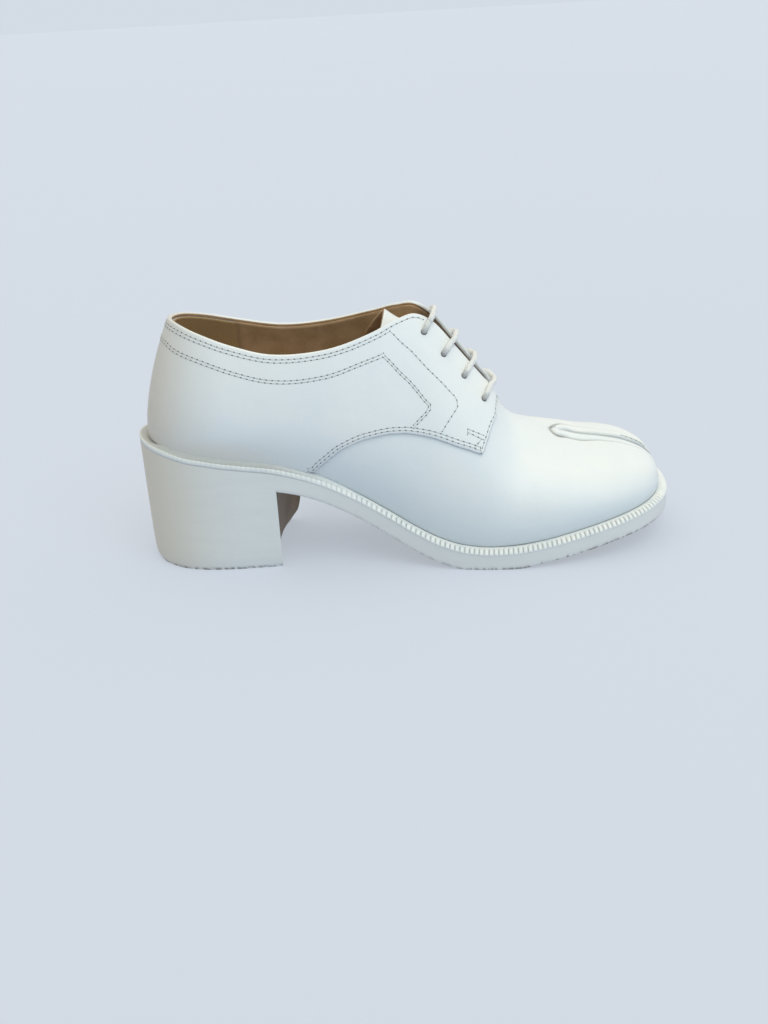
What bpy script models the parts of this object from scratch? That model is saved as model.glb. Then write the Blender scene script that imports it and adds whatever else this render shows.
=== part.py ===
"""A right split-toe derby with a block heel, standing empty on its sole.

Sizes are millimetres in the shoe's own frame: x runs from the back of the heel to the toe, y from the
lateral side (negative) to the medial side (positive), z up from the floor. The shoe's empty centres the
whole on the origin, in metres.
"""

import bmesh
import bpy
import numpy as np

MM = 0.001
LATERAL, MEDIAL = -1, 1
SIDE_NAMES = {LATERAL: "lateral", MEDIAL: "medial"}
UP = np.array([0.0, 0.0, 1.0])

# Driving sizes
HEEL_X = 1.0
TOE_X = 263.4
TOE_Y = 7.0
WELT_WIDTH = 4.6
WELT_THICKNESS = 2.3
WELT_TUCK = 7.0
GAP = 0.3
FOOT_GAP = 0.6
WALL = 1.8
QUARTER_THICKNESS = 1.2
INSOLE_THICKNESS = 2.2
TONGUE_THICKNESS = 1.8
LACE_DIAMETER = 2.8
LACE_HOLE_DIAMETER = 3.6
CLEFT_START_X = 205.0
CLEFT_RAMP = 12.0
CLEFT_HALF_GAP = 0.9
LIP_RADIUS = 2.4


class Table:
    """Rows of sizes under named columns, read as smooth curves along the first column."""

    def __init__(self, columns, *rows):
        self.columns = columns.split()
        self.values = np.array(rows, float)
        self.key = self.values[:, 0]

    def at(self, name, where, flat_start=False):
        """The column's value, by a cubic that never overshoots its rows."""
        values = self.values[:, self.columns.index(name)]
        span = np.diff(self.key)
        rate = np.diff(values) / span
        slope = np.empty_like(values)
        slope[0], slope[-1] = rate[0], rate[-1]
        same_way = rate[:-1] * rate[1:] > 0
        near = 2 * span[1:] + span[:-1]
        far = span[1:] + 2 * span[:-1]
        safe = np.where(rate == 0, 1.0, rate)
        slope[1:-1] = np.where(same_way, (near + far) / (near / safe[:-1] + far / safe[1:]), 0.0)
        if flat_start:
            slope[0] = 0.0
        where = np.clip(where, self.key[0], self.key[-1])
        i = np.clip(np.searchsorted(self.key, where, side="right") - 1, 0, len(span) - 1)
        t = (where - self.key[i]) / span[i]
        rise = values[i] * (1 + 2 * t) * (1 - t) ** 2 + values[i + 1] * t**2 * (3 - 2 * t)
        lean = span[i] * (slope[i] * t * (1 - t) ** 2 - slope[i + 1] * t**2 * (1 - t))
        return rise + lean


# Plan of the welt's outer edge: half-widths either side of the line y = 0
OUTLINE = Table(
    "x lateral medial",
    (6.0, 15.5, 15.5),
    (20.0, 27.4, 27.2),
    (42.0, 31.8, 31.4),
    (70.0, 31.3, 30.4),
    (98.0, 31.6, 28.2),
    (122.0, 36.0, 29.4),
    (146.0, 42.6, 34.8),
    (170.0, 47.2, 41.6),
    (192.0, 47.8, 45.2),
    (214.0, 44.8, 45.8),
    (234.0, 39.2, 43.2),
    (249.0, 31.2, 37.2),
    (258.6, 19.5, 27.5),
)

# Side profile of the bottom: the tread under the sole and the seat that the upper stands on
PROFILE = Table(
    "x tread seat",
    (0.0, 42.6, 68.2),
    (14.0, 42.4, 63.4),
    (29.0, 42.2, 58.2),
    (42.0, 42.0, 55.5),
    (54.0, 41.8, 54.0),
    (66.0, 40.5, 52.2),
    (78.0, 37.9, 49.0),
    (89.0, 34.0, 45.2),
    (98.0, 29.8, 41.2),
    (110.0, 23.4, 35.0),
    (123.0, 15.4, 27.4),
    (135.0, 8.1, 20.2),
    (147.0, 2.6, 14.4),
    (158.0, 0.0, 11.3),
    (170.0, 0.0, 10.2),
    (182.0, 0.0, 10.6),
    (196.0, 2.2, 12.3),
    (212.0, 4.8, 15.1),
    (230.0, 8.2, 18.4),
    (250.0, 11.8, 22.2),
    (266.0, 14.2, 25.0),
)

# The middle line that splits the last into its lateral and medial halves
MIDDLE = Table("x y", (0.0, 0.0), (180.0, 0.0), (205.0, 4.6), (232.0, 6.6), (TOE_X, TOE_Y))

# The top line: collar, facing edge, throat, and the vamp's middle line down the front of the toe.
# along is the share of the half outline from heel back to toe at the rib's foot, and
# spread the distance from the middle line.
TOP_LINE = Table(
    "along x z spread",
    (0.00, 23.4, 121.4, 0.0),
    (0.06, 27.5, 120.5, 10.8),
    (0.12, 38.5, 116.5, 21.0),
    (0.18, 54.0, 111.4, 26.2),
    (0.25, 73.0, 107.2, 28.0),
    (0.33, 97.0, 107.8, 26.8),
    (0.41, 120.0, 113.6, 21.0),
    (0.455, 132.0, 118.4, 15.0),
    (0.48, 139.5, 119.2, 12.0),
    (0.505, 146.5, 115.6, 10.5),
    (0.55, 160.0, 98.6, 9.5),
    (0.59, 170.0, 85.4, 8.7),
    (0.608, 174.6, 79.4, 8.0),
    (0.622, 177.8, 72.8, 6.2),
    (0.645, 182.0, 64.4, 0.0),
    (0.68, 190.0, 60.0, 0.0),
    (0.72, 199.0, 56.0, 0.0),
    (0.76, 208.0, 51.4, 0.0),
    (0.81, 219.0, 47.4, 0.0),
    (0.86, 231.0, 45.4, 0.0),
    (0.91, 243.0, 42.6, 0.0),
    (0.95, 253.2, 37.4, 0.0),
    (0.98, 258.4, 30.8, 0.0),
    (1.00, 258.8, 24.0, 0.0),
)

# The collar stands a little higher on the medial side
MEDIAL_LIFT = Table(
    "along z", (0.15, 0.0), (0.25, 0.7), (0.33, 1.7), (0.40, 1.9), (0.435, 0.7), (0.46, 0.0)
)

# Ribs from the seat to the top line: how far each handle of the rib stands out and up
RIBS = {
    LATERAL: Table(
        "along flare lift reach drop",
        (0.00, 0.8, 16.0, 7.0, 14.0),
        (0.12, 3.2, 17.0, 6.5, 16.0),
        (0.25, 5.0, 19.0, 5.5, 20.0),
        (0.38, 7.0, 24.0, 8.5, 25.0),
        (0.48, 8.0, 30.0, 14.0, 22.0),
        (0.55, 7.5, 27.0, 18.0, 9.0),
        (0.62, 6.5, 22.0, 21.0, 3.0),
        (0.70, 5.5, 18.0, 25.0, 0.0),
        (0.78, 4.5, 14.5, 25.0, 0.0),
        (0.86, 3.6, 11.5, 20.0, 0.0),
        (0.93, 2.6, 8.5, 12.0, 0.0),
        (0.97, 1.6, 4.5, 6.0, 0.0),
        (1.00, 0.0, 0.0, 0.0, 0.0),
    ),
    MEDIAL: Table(
        "along flare lift reach drop",
        (0.00, 0.8, 16.0, 7.0, 14.0),
        (0.12, 3.2, 17.0, 6.5, 16.0),
        (0.25, 4.5, 19.0, 5.5, 20.0),
        (0.38, 6.0, 24.0, 8.5, 25.0),
        (0.48, 8.0, 30.0, 14.0, 22.0),
        (0.55, 8.0, 28.0, 18.0, 9.0),
        (0.62, 7.0, 25.0, 21.0, 3.0),
        (0.70, 5.5, 22.0, 24.0, 0.0),
        (0.78, 4.5, 19.0, 21.0, -8.0),
        (0.86, 4.0, 15.5, 18.0, -9.0),
        (0.93, 3.0, 10.5, 12.0, -6.5),
        (0.97, 1.8, 5.0, 6.0, -2.5),
        (1.00, 0.0, 0.0, 0.0, 0.0),
    ),
}


def closed_curve(points, per_span):
    """Points on the smooth closed curve through the given points, with per_span points in each span."""
    count = len(points)
    after = np.roll(points, -1, axis=0)
    span = np.linalg.norm(after - points, axis=1)
    before = np.roll(span, 1)
    system = np.zeros((count, count))
    for i in range(count):
        system[i, i] = 2 * (before[i] + span[i])
        system[i, i - 1] += before[i]
        system[i, (i + 1) % count] += span[i]
    rate = (after - points) / span[:, None]
    bend = np.linalg.solve(system, 6 * (rate - np.roll(rate, 1, axis=0)))
    next_bend = np.roll(bend, -1, axis=0)
    found = []
    for t in np.arange(per_span) / per_span:
        h = span[:, None]
        near, far = (1 - t) * h, t * h
        cubic = (near**3 * bend + far**3 * next_bend) / (6 * h)
        line = (points / h - bend * h / 6) * near + (after / h - next_bend * h / 6) * far
        found.append(cubic + line)
    return np.stack(found, axis=1).reshape(-1, points.shape[1])


class Outline:
    """The welt's outer edge, measured from the heel back to the toe along either side."""

    PER_SPAN = 60

    def __init__(self):
        x = OUTLINE.values[:, 0]
        lateral = np.stack([x, -OUTLINE.values[:, 1]], axis=1)
        medial = np.stack([x, OUTLINE.values[:, 2]], axis=1)
        heel, toe = np.array([[HEEL_X, 0.0]]), np.array([[TOE_X, TOE_Y]])
        loop = closed_curve(np.concatenate([heel, lateral, toe, medial[::-1]]), self.PER_SPAN)
        tangent = np.roll(loop, -1, axis=0) - np.roll(loop, 1, axis=0)
        tangent /= np.linalg.norm(tangent, axis=1)[:, None]
        normal = np.stack([tangent[:, 1], -tangent[:, 0]], axis=1)
        turn = (len(x) + 1) * self.PER_SPAN
        lateral_half = np.arange(turn + 1)
        medial_half = np.concatenate([[0], np.arange(len(loop) - 1, turn - 1, -1)])
        self.halves = {}
        for side, index in ((LATERAL, lateral_half), (MEDIAL, medial_half)):
            points, normals = loop[index], normal[index]
            run = np.concatenate([[0], np.cumsum(np.linalg.norm(np.diff(points, axis=0), axis=1))])
            self.halves[side] = (run / run[-1], points, normals)

    def at(self, side, along, inset=0.0):
        """Plan points and outward normals at these shares of the half outline."""
        share, points, normals = self.halves[side]
        point = np.stack([np.interp(along, share, points[:, k]) for k in (0, 1)], axis=-1)
        normal = np.stack([np.interp(along, share, normals[:, k]) for k in (0, 1)], axis=-1)
        normal /= np.linalg.norm(normal, axis=-1, keepdims=True)
        return point - normal * inset, normal

    def along_at_x(self, side, x):
        share, points, _ = self.halves[side]
        return np.interp(x, points[:, 0], share)


PLAN = Outline()


def seat(x):
    return PROFILE.at("seat", x)


def smooth_step(t):
    t = np.clip(t, 0, 1)
    return t * t * (3 - 2 * t)


def cleft_strength(x):
    """0 behind the split, 1 where the two toe lobes stand fully apart."""
    return smooth_step((x - CLEFT_START_X) / CLEFT_RAMP)


def whole_last(side, along, rise):
    """Outer face of the upper before the toe is split, as points for each along and rise."""
    along, rise = np.broadcast_arrays(np.asarray(along, float), np.asarray(rise, float))
    foot, normal = PLAN.at(side, along, WELT_WIDTH)
    foot = np.concatenate([foot, (seat(foot[..., 0]) + FOOT_GAP)[..., None]], axis=-1)
    out = np.concatenate([normal, np.zeros(along.shape + (1,))], axis=-1)
    x = TOP_LINE.at("x", along, flat_start=True)
    spread = TOP_LINE.at("spread", along)
    height = TOP_LINE.at("z", along, flat_start=True)
    if side == MEDIAL:
        height = height + MEDIAL_LIFT.at("z", along)
    top = np.stack([x, MIDDLE.at("y", x) + side * spread, height], axis=-1)
    flare, lift, reach, drop = (
        RIBS[side].at(name, along, flat_start=True)[..., None] for name in ("flare", "lift", "reach", "drop")
    )
    low = foot + out * flare + UP * lift
    turn = smooth_step((along - 0.3) / 0.3)[..., None]
    across = out * (1 - turn) + np.array([0.0, side, 0.0]) * turn
    high = top + across * reach - UP * drop
    t = rise[..., None]
    return foot * (1 - t) ** 3 + low * 3 * t * (1 - t) ** 2 + high * 3 * t**2 * (1 - t) + top * t**3


def last_normal(side, along, rise, face=whole_last):
    """Outward normals of a face of the last."""
    step = 1e-3
    along, rise = np.minimum(along, 0.997), np.asarray(rise, float)
    back, fore = np.clip(along - step, 0, 1), np.clip(along + step, 0, 1)
    low, high = np.clip(rise - step, 0, 1), np.clip(rise + step, 0, 1)
    forward = face(side, fore, rise) - face(side, back, rise)
    upward = face(side, along, high) - face(side, along, low)
    normal = np.cross(upward, forward) * side
    return normal / np.linalg.norm(normal, axis=-1, keepdims=True)


def last(side, along, rise):
    """Outer face of the upper, with the lips of the toe's split rolled in."""
    point = whole_last(side, along, rise)
    normal = last_normal(side, along, rise)
    middle = MIDDLE.at("y", point[..., 0])
    away = np.clip((point[..., 1] - middle) * side, 0, LIP_RADIUS)
    strength = cleft_strength(point[..., 0])
    roll = LIP_RADIUS - np.sqrt(LIP_RADIUS**2 - (LIP_RADIUS - away) ** 2)
    part = CLEFT_HALF_GAP * (1 - away / LIP_RADIUS)
    point = point - normal * (strength * roll)[..., None]
    point[..., 1] += side * strength * part
    point[..., 2] = np.maximum(point[..., 2], seat(point[..., 0]) + FOOT_GAP)
    return point


def over_last(side, along, rise, height):
    """Points that stand this far out from the upper's outer face."""
    return last(side, along, rise) + last_normal(side, along, rise) * np.asarray(height)[..., None]


# The quarter's lower and front edge on the last, from the heel back to the throat
QUARTER_EDGE = Table(
    "along rise",
    (0.000, 0.012),
    (0.312, 0.012),
    (0.331, 0.088),
    (0.347, 0.186),
    (0.375, 0.340),
    (0.407, 0.432),
    (0.446, 0.456),
    (0.486, 0.461),
    (0.524, 0.475),
    (0.567, 0.500),
    (0.595, 0.512),
    (0.6027, 0.586),
    (0.6091, 0.684),
    (0.6135, 0.766),
    (0.6162, 0.861),
    (0.6185, 0.950),
)

# Lace holes as along and rise, from the top down
LACE_HOLES = {
    LATERAL: ((0.4964, 0.905), (0.5256, 0.851), (0.5564, 0.833), (0.5919, 0.801)),
    MEDIAL: ((0.5004, 0.900), (0.5296, 0.848), (0.5604, 0.830), (0.5959, 0.800)),
}
# How far along the last each bar has moved forward where it leaves the facing
LACE_LEANS = (0.0100, 0.0095, 0.0120, 0.0105)

# The tongue's upper face, from under the vamp to its top: height in the middle, half-width,
# and how far its edges hang below the middle
TONGUE = Table(
    "x z half_width hang",
    (122.0, 119.5, 15.0, 12.0),
    (128.0, 115.4, 14.0, 8.6),
    (134.0, 112.8, 13.2, 6.6),
    (140.0, 110.6, 12.6, 5.4),
    (150.0, 104.6, 13.0, 5.8),
    (160.0, 92.6, 14.6, 7.2),
    (170.0, 78.6, 16.2, 8.6),
    (178.0, 65.6, 15.2, 6.8),
    (184.0, 58.8, 13.0, 4.2),
    (191.0, 55.6, 11.0, 2.5),
)

# The heel block from the floor up: share of its height, inset from the welt, and the x of
# the breast's lateral and medial corners
HEEL_BLOCK = Table(
    "share inset lateral medial",
    (0.00, 2.8, 68.8, 69.0),
    (0.04, 1.7, 69.0, 70.5),
    (0.12, 1.1, 69.0, 73.2),
    (0.30, 0.8, 69.2, 75.0),
    (1.00, 0.3, 69.2, 76.0),
)
BREAST_HOLLOW = 4.0

MATERIALS = {
    "white_leather": ((0.83, 0.85, 0.86, 1.0), 0.42),
    "welt_leather": ((0.80, 0.82, 0.82, 1.0), 0.55),
    "painted_sole": ((0.72, 0.76, 0.78, 1.0), 0.5),
    "tan_lining": ((0.23, 0.13, 0.065, 1.0), 0.6),
    "lace_cotton": ((0.82, 0.82, 0.80, 1.0), 0.75),
}


def material(name):
    found = bpy.data.materials.get(name)
    if found:
        return found
    colour, roughness = MATERIALS[name]
    made = bpy.data.materials.new(name)
    made.use_nodes = True
    shader = made.node_tree.nodes["Principled BSDF"]
    shader.inputs["Base Color"].default_value = colour
    shader.inputs["Roughness"].default_value = roughness
    made.diffuse_color = colour
    return made


def add_mesh(name, points, faces, material_name, parent):
    """A mesh object from points in millimetres, with points that coincide joined."""
    mesh = bpy.data.meshes.new(name)
    work = bmesh.new()
    verts = [work.verts.new(point * MM) for point in np.asarray(points, float)]
    for face in faces:
        work.faces.new([verts[i] for i in face])
    bmesh.ops.remove_doubles(work, verts=work.verts, dist=1e-6)
    bmesh.ops.dissolve_degenerate(work, edges=work.edges, dist=1e-6)
    work.to_mesh(mesh)
    work.free()
    mesh.materials.append(material(material_name))
    made = bpy.data.objects.new(name, mesh)
    made.parent = parent
    bpy.context.scene.collection.objects.link(made)
    return made


class Skin:
    """Points and faces gathered from grids, faces wound so that they look outward."""

    def __init__(self):
        self.points = []
        self.faces = []

    def add_grid(self, grid, flip):
        rows, columns = grid.shape[:2]
        first = len(self.points)
        self.points.extend(grid.reshape(-1, 3))
        for i in range(rows - 1):
            for j in range(columns - 1):
                corner = first + i * columns + j
                face = [corner, corner + columns, corner + columns + 1, corner + 1]
                self.faces.append(face[::-1] if flip else face)


def thicken(obj, thickness):
    """Closes an open skin into a wall: a second skin inside it, and a rim along the open edges."""
    work = bmesh.new()
    work.from_mesh(obj.data)
    work.normal_update()
    open_loops = [edge.link_loops[0] for edge in work.edges if edge.is_boundary]
    rims = [(loop.vert, loop.link_loop_next.vert) for loop in open_loops]
    skin = list(work.faces)
    inner = {}
    for vert in list(work.verts):
        inside = vert.co - vert.normal * thickness * MM
        inside.z = max(inside.z, float(seat(inside.x / MM) + FOOT_GAP) * MM)
        inner[vert] = work.verts.new(inside)
    for face in skin:
        work.faces.new([inner[vert] for vert in reversed(face.verts)])
    for first, second in rims:
        work.faces.new([second, first, inner[first], inner[second]])
    work.to_mesh(obj.data)
    work.free()


def cut(obj, cutter):
    hole = obj.modifiers.new("cut", "BOOLEAN")
    hole.operation = "DIFFERENCE"
    hole.solver = "EXACT"
    hole.object = cutter


UPPER_ALONG = np.concatenate(
    [
        np.linspace(0.0, 0.42, 19),
        np.linspace(0.44, 0.62, 11),
        [0.6325, 0.645, 0.665, 0.685, 0.705, 0.725],
        np.linspace(0.746, 0.96, 12),
        [0.975, 0.986, 0.994, 1.0],
    ]
)
UPPER_RISE = np.array([0.0, 0.1, 0.21, 0.33, 0.45, 0.57, 0.69, 0.8, 0.885, 0.945, 0.98, 1.0])
CLEFT_FIRST = 36
CLEFT_DEPTH = np.array([0.0, 0.15, 0.4, 0.7, 1.0])
ROOT_BOTTOM_X = 230.0


def cleft_root(share):
    """The bottom line of the toe's split, from its start on the vamp down to the sole."""
    start = whole_last(LATERAL, UPPER_ALONG[CLEFT_FIRST], 1.0)
    x = start[0] + (ROOT_BOTTOM_X - start[0]) * share
    bottom = seat(ROOT_BOTTOM_X) + FOOT_GAP
    z = bottom + (start[2] - bottom) * (1 - share**1.4)
    return np.stack([x, MIDDLE.at("y", x), z], axis=-1)


def cleft_wall(side):
    """One wall of the toe's split, from the lip to the bottom line."""
    lip = last(side, UPPER_ALONG[CLEFT_FIRST:], 1.0)
    line = whole_last(LATERAL, UPPER_ALONG[CLEFT_FIRST:], 1.0)
    run = np.concatenate([[0], np.cumsum(np.linalg.norm(np.diff(line, axis=0), axis=1))])
    root = cleft_root(run / run[-1])
    depth = CLEFT_DEPTH[None, :, None]
    return lip[:, None] * (1 - depth) + root[:, None] * depth


def make_upper(shoe, holes):
    skin = Skin()
    for side in (LATERAL, MEDIAL):
        skin.add_grid(last(side, UPPER_ALONG[:, None], UPPER_RISE[None, :]), side == MEDIAL)
        skin.add_grid(cleft_wall(side), side == MEDIAL)
    upper = add_mesh("upper", skin.points, skin.faces, "white_leather", shoe)
    thicken(upper, WALL)
    cut(upper, holes)


QUARTER_ALONG = np.concatenate(
    [
        [0.0013],
        np.linspace(0.0233, 0.42, 18),
        np.linspace(0.44, 0.58, 8),
        [0.595, 0.599, 0.603, 0.6065, 0.61, 0.613, 0.616, 0.6185],
    ]
)
QUARTER_RISE = np.array([0.0, 0.16, 0.33, 0.5, 0.67, 0.84, 1.0])
QUARTER_GAP = 0.6


def make_quarter(side, shoe, holes):
    """A quarter lies over the upper from the heel back to the front of the lace facing."""
    along = QUARTER_ALONG[:, None]
    low = QUARTER_EDGE.at("rise", along)
    rise = low + (1 - low) * QUARTER_RISE[None, :]
    skin = Skin()
    height = np.full(rise.shape, QUARTER_GAP + QUARTER_THICKNESS)
    skin.add_grid(over_last(side, along + 0 * rise, rise, height), side == MEDIAL)
    quarter = add_mesh(f"quarter_{SIDE_NAMES[side]}", skin.points, skin.faces, "white_leather", shoe)
    thicken(quarter, QUARTER_THICKNESS)
    cut(quarter, holes)


def ring_around(centre, axis, radius, count):
    """Points on a circle round this axis."""
    axis = axis / np.linalg.norm(axis)
    first = np.cross(axis, [1.0, 0.0, 0.0])
    first /= np.linalg.norm(first)
    second = np.cross(axis, first)
    turn = np.linspace(0, 2 * np.pi, count, endpoint=False)[:, None]
    return centre + radius * (np.cos(turn) * first + np.sin(turn) * second)


def add_tube(points, faces, path, radius, count):
    """A closed round tube along the path, added to the lists of points and faces."""
    first = len(points)
    heading = np.gradient(path, axis=0)
    for centre, axis in zip(path, heading):
        points.extend(ring_around(centre, axis, radius, count))
    for i in range(len(path) - 1):
        for j in range(count):
            here, beside = first + i * count + j, first + i * count + (j + 1) % count
            faces.append([here, beside, beside + count, here + count])
    faces.append([first + j for j in range(count)][::-1])
    faces.append([first + (len(path) - 1) * count + j for j in range(count)])


def make_hole_cutter(shoe):
    """Eight short rods, one through each lace hole."""
    points, faces = [], []
    for side in (LATERAL, MEDIAL):
        for along, rise in LACE_HOLES[side]:
            centre = last(side, along, rise)
            normal = last_normal(side, along, rise)
            add_tube(points, faces, centre + normal * np.array([[-6.0], [6.0]]), LACE_HOLE_DIAMETER / 2, 10)
    rods = add_mesh("lace_hole_rods", points, faces, "lace_cotton", shoe)
    rods.hide_render = True
    rods.hide_viewport = True
    return rods


LACE_HEIGHT = QUARTER_GAP + QUARTER_THICKNESS + GAP + LACE_DIAMETER / 2
LACE_TURN = 2.2


def lace_end(side, along, rise, lean):
    """The lace's way out of its hole and over the facing, leaning as it goes, to the facing's edge."""
    span = np.linalg.norm(last(side, along, 1.0) - last(side, along, rise))
    per_mm = (1 - rise) / span
    quarter_turn = np.radians([90, 60, 30, 0])
    steps = [(0.0, 0.3)]
    steps += [(LACE_TURN * (1 - np.sin(a)), LACE_HEIGHT - LACE_TURN * (1 - np.cos(a))) for a in quarter_turn]
    steps += [(0.6 * span, LACE_HEIGHT), (span, LACE_HEIGHT + 0.2)]
    points = [over_last(side, along + lean * s / span, rise + s * per_mm, height) for s, height in steps]
    return np.array(points)


def make_laces(shoe):
    bars = zip(LACE_HOLES[LATERAL], LACE_HOLES[MEDIAL], LACE_LEANS)
    for number, (lateral, medial, lean) in enumerate(bars, 1):
        near, far = lace_end(LATERAL, *lateral, lean), lace_end(MEDIAL, *medial, lean)
        crown = (near[-1] + far[-1]) / 2 + np.array([0.4, 0.0, 0.9])
        path = np.concatenate([near, [crown], far[::-1]])
        points, faces = [], []
        add_tube(points, faces, path, LACE_DIAMETER / 2, 8)
        add_mesh(f"lace_bar_{number}", points, faces, "lace_cotton", shoe)


TONGUE_SWEEP = 4.0


def tongue_sweep(row):
    """How far the middle of the tongue runs ahead of its edges, near the rounded top end."""
    return TONGUE_SWEEP * smooth_step((150.0 - row) / 28.0)


def make_tongue(shoe):
    rows = np.linspace(122.0, 191.0, 17)[:, None]
    across = np.linspace(-1, 1, 9)[None, :]
    half = TONGUE.at("half_width", rows)
    y = half * across + MIDDLE.at("y", rows)
    z = TONGUE.at("z", rows) - TONGUE.at("hang", rows) * across**2
    skin = Skin()
    x = rows + tongue_sweep(rows) * (1 - across**2)
    skin.add_grid(np.stack([x, y, z], axis=-1), False)
    tongue = add_mesh("tongue", skin.points, skin.faces, "white_leather", shoe)
    thicken(tongue, TONGUE_THICKNESS)


def plate(name, levels, material_name, shoe):
    """A solid from levels, lowest first. Each level has a left and a right row that meet at the tip,
    and an arc that runs from the start of the right row to the start of the left row."""
    points, faces = [], []
    count = len(levels[0][0])
    loops = []
    for left, right, arc in levels:
        first = len(points)
        loop = np.concatenate([left, right[::-1], arc])
        points.extend(loop)
        loops.append(first + np.arange(len(loop)))
    for low, high in zip(loops, loops[1:]):
        for i in range(len(low)):
            after = (i + 1) % len(low)
            faces.append([low[i], low[after], high[after], high[i]])
    for loop, flip in ((loops[0], True), (loops[-1], False)):
        left, right = loop[:count], loop[count : 2 * count][::-1]
        cap = [[left[i], right[i], right[i + 1], left[i + 1]] for i in range(1, count - 1)]
        cap.append([left[0], *loop[2 * count :][::-1], right[0], right[1], left[1]])
        for face in cap:
            faces.append(face if flip else face[::-1])
    made = add_mesh(name, points, faces, material_name, shoe)
    face_out(made)
    return made


def face_out(obj):
    """Turns the faces of a closed mesh outward."""
    work = bmesh.new()
    work.from_mesh(obj.data)
    bmesh.ops.triangulate(work, faces=work.faces)
    bmesh.ops.recalc_face_normals(work, faces=work.faces)
    if work.calc_volume(signed=True) < 0:
        bmesh.ops.reverse_faces(work, faces=work.faces)
    work.to_mesh(obj.data)
    work.free()


def breast(left, right, hollow, count):
    """The hollow line across the heel's front, from the right corner to the left."""
    share = np.linspace(0, 1, count + 2)[1:-1, None]
    line = right * (1 - share) + left * share
    line[:, 0] -= hollow * (1 - (2 * share[:, 0] - 1) ** 2)
    return line


def outline_row(side, start, stop, count, inset):
    share = np.linspace(start, stop, count)
    point, _ = PLAN.at(side, share, inset)
    return point


def with_height(point, height):
    return np.column_stack([point, height])


def make_outsole(shoe):
    """The outsole runs from the heel breast to the toe, under the welt."""
    lateral_x, medial_x = HEEL_BLOCK.at("lateral", 1.0), HEEL_BLOCK.at("medial", 1.0)
    starts = [PLAN.along_at_x(LATERAL, lateral_x + GAP), PLAN.along_at_x(MEDIAL, medial_x + GAP)]
    levels = []
    for inset, lift in ((1.4, 0.0), (0.5, 0.9), (0.3, None)):
        rows = []
        for side, start in zip((LATERAL, MEDIAL), starts):
            rows.append(outline_row(side, start, 1.0, 30, inset))
        rows.append(breast(rows[0][0], rows[1][0], BREAST_HOLLOW, 5))
        heights = []
        for row in rows:
            top = seat(row[:, 0]) - WELT_THICKNESS - GAP
            heights.append(top if lift is None else PROFILE.at("tread", row[:, 0]) + lift)
        levels.append([with_height(row, height) for row, height in zip(rows, heights)])
    plate("outsole", levels, "painted_sole", shoe)


def make_heel(shoe):
    levels = []
    for share, inset, lateral_x, medial_x in HEEL_BLOCK.values:
        rows = []
        for side, corner in ((LATERAL, lateral_x), (MEDIAL, medial_x)):
            start = PLAN.along_at_x(side, corner)
            rows.append(outline_row(side, start, 0.0, 18, inset))
        rows.append(breast(rows[0][0], rows[1][0], BREAST_HOLLOW, 5))
        level = []
        for row in rows:
            top = seat(row[:, 0]) - WELT_THICKNESS - GAP
            level.append(with_height(row, share * top))
        levels.append(level)
    plate("heel", levels, "painted_sole", shoe)


def make_insole(shoe):
    inset = WELT_WIDTH + WALL + 0.8
    levels = []
    for lift in (GAP, GAP + INSOLE_THICKNESS):
        rows = [outline_row(side, 0.0, 1.0, 40, inset) for side in (LATERAL, MEDIAL)]
        rows.append(np.empty((0, 2)))
        levels.append([with_height(row, seat(row[:, 0]) + lift) for row in rows])
    insole = plate("insole", levels, "tan_lining", shoe)
    cut(insole, make_insole_notch(shoe))


def make_insole_notch(shoe):
    """A wedge that clears the insole for the walls of the toe's split."""
    half = CLEFT_HALF_GAP + WALL + 0.5
    x = np.array([ROOT_BOTTOM_X - 3.0, TOE_X])
    y = MIDDLE.at("y", x)
    corners = [(x[0], y[0] - half), (x[1], y[1] - half), (x[1], y[1] + half), (x[0], y[0] + half)]
    points = [(*corner, z) for z in (0.0, 60.0) for corner in corners]
    faces = [[3, 2, 1, 0], [4, 5, 6, 7], [0, 1, 5, 4], [1, 2, 6, 5], [2, 3, 7, 6], [3, 0, 4, 7]]
    wedge = add_mesh("insole_notch", points, faces, "tan_lining", shoe)
    wedge.hide_render = True
    wedge.hide_viewport = True
    return wedge


def make_welt(shoe):
    """A strip all round, its top flush with the seat and tucked under the upper."""
    inner = WELT_WIDTH + WELT_TUCK
    bottom = -WELT_THICKNESS
    profile = ((0.0, bottom), (0.0, -0.9), (0.7, 0.0), (inner, 0.0), (inner, bottom))
    share = np.linspace(0, 1, 46)
    loops = []
    for inset, lift in profile:
        lateral, _ = PLAN.at(LATERAL, share, inset)
        medial, _ = PLAN.at(MEDIAL, share[1:-1], inset)
        loop = np.concatenate([lateral, medial[::-1]])
        loops.append(with_height(loop, seat(loop[:, 0]) + lift))
    around = len(loops[0])
    faces = []
    for k in range(len(loops)):
        after = (k + 1) % len(loops)
        for i in range(around):
            turn = (i + 1) % around
            faces.append([k * around + i, k * around + turn, after * around + turn, after * around + i])
    welt = add_mesh("welt", np.concatenate(loops), faces, "welt_leather", shoe)
    face_out(welt)


def main():
    for old in list(bpy.data.objects):
        bpy.data.objects.remove(old, do_unlink=True)
    shoe = bpy.data.objects.new("shoe", None)
    bpy.context.scene.collection.objects.link(shoe)
    edges = np.concatenate([PLAN.halves[side][1] for side in (LATERAL, MEDIAL)])
    middle = (edges.min(axis=0) + edges.max(axis=0)) / 2
    shoe.location = (-middle[0] * MM, -middle[1] * MM, 0.0)
    holes = make_hole_cutter(shoe)
    make_upper(shoe, holes)
    for side in (LATERAL, MEDIAL):
        make_quarter(side, shoe, holes)
    make_tongue(shoe)
    make_laces(shoe)
    make_insole(shoe)
    make_welt(shoe)
    make_outsole(shoe)
    make_heel(shoe)


if __name__ == "__main__":
    main()
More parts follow.
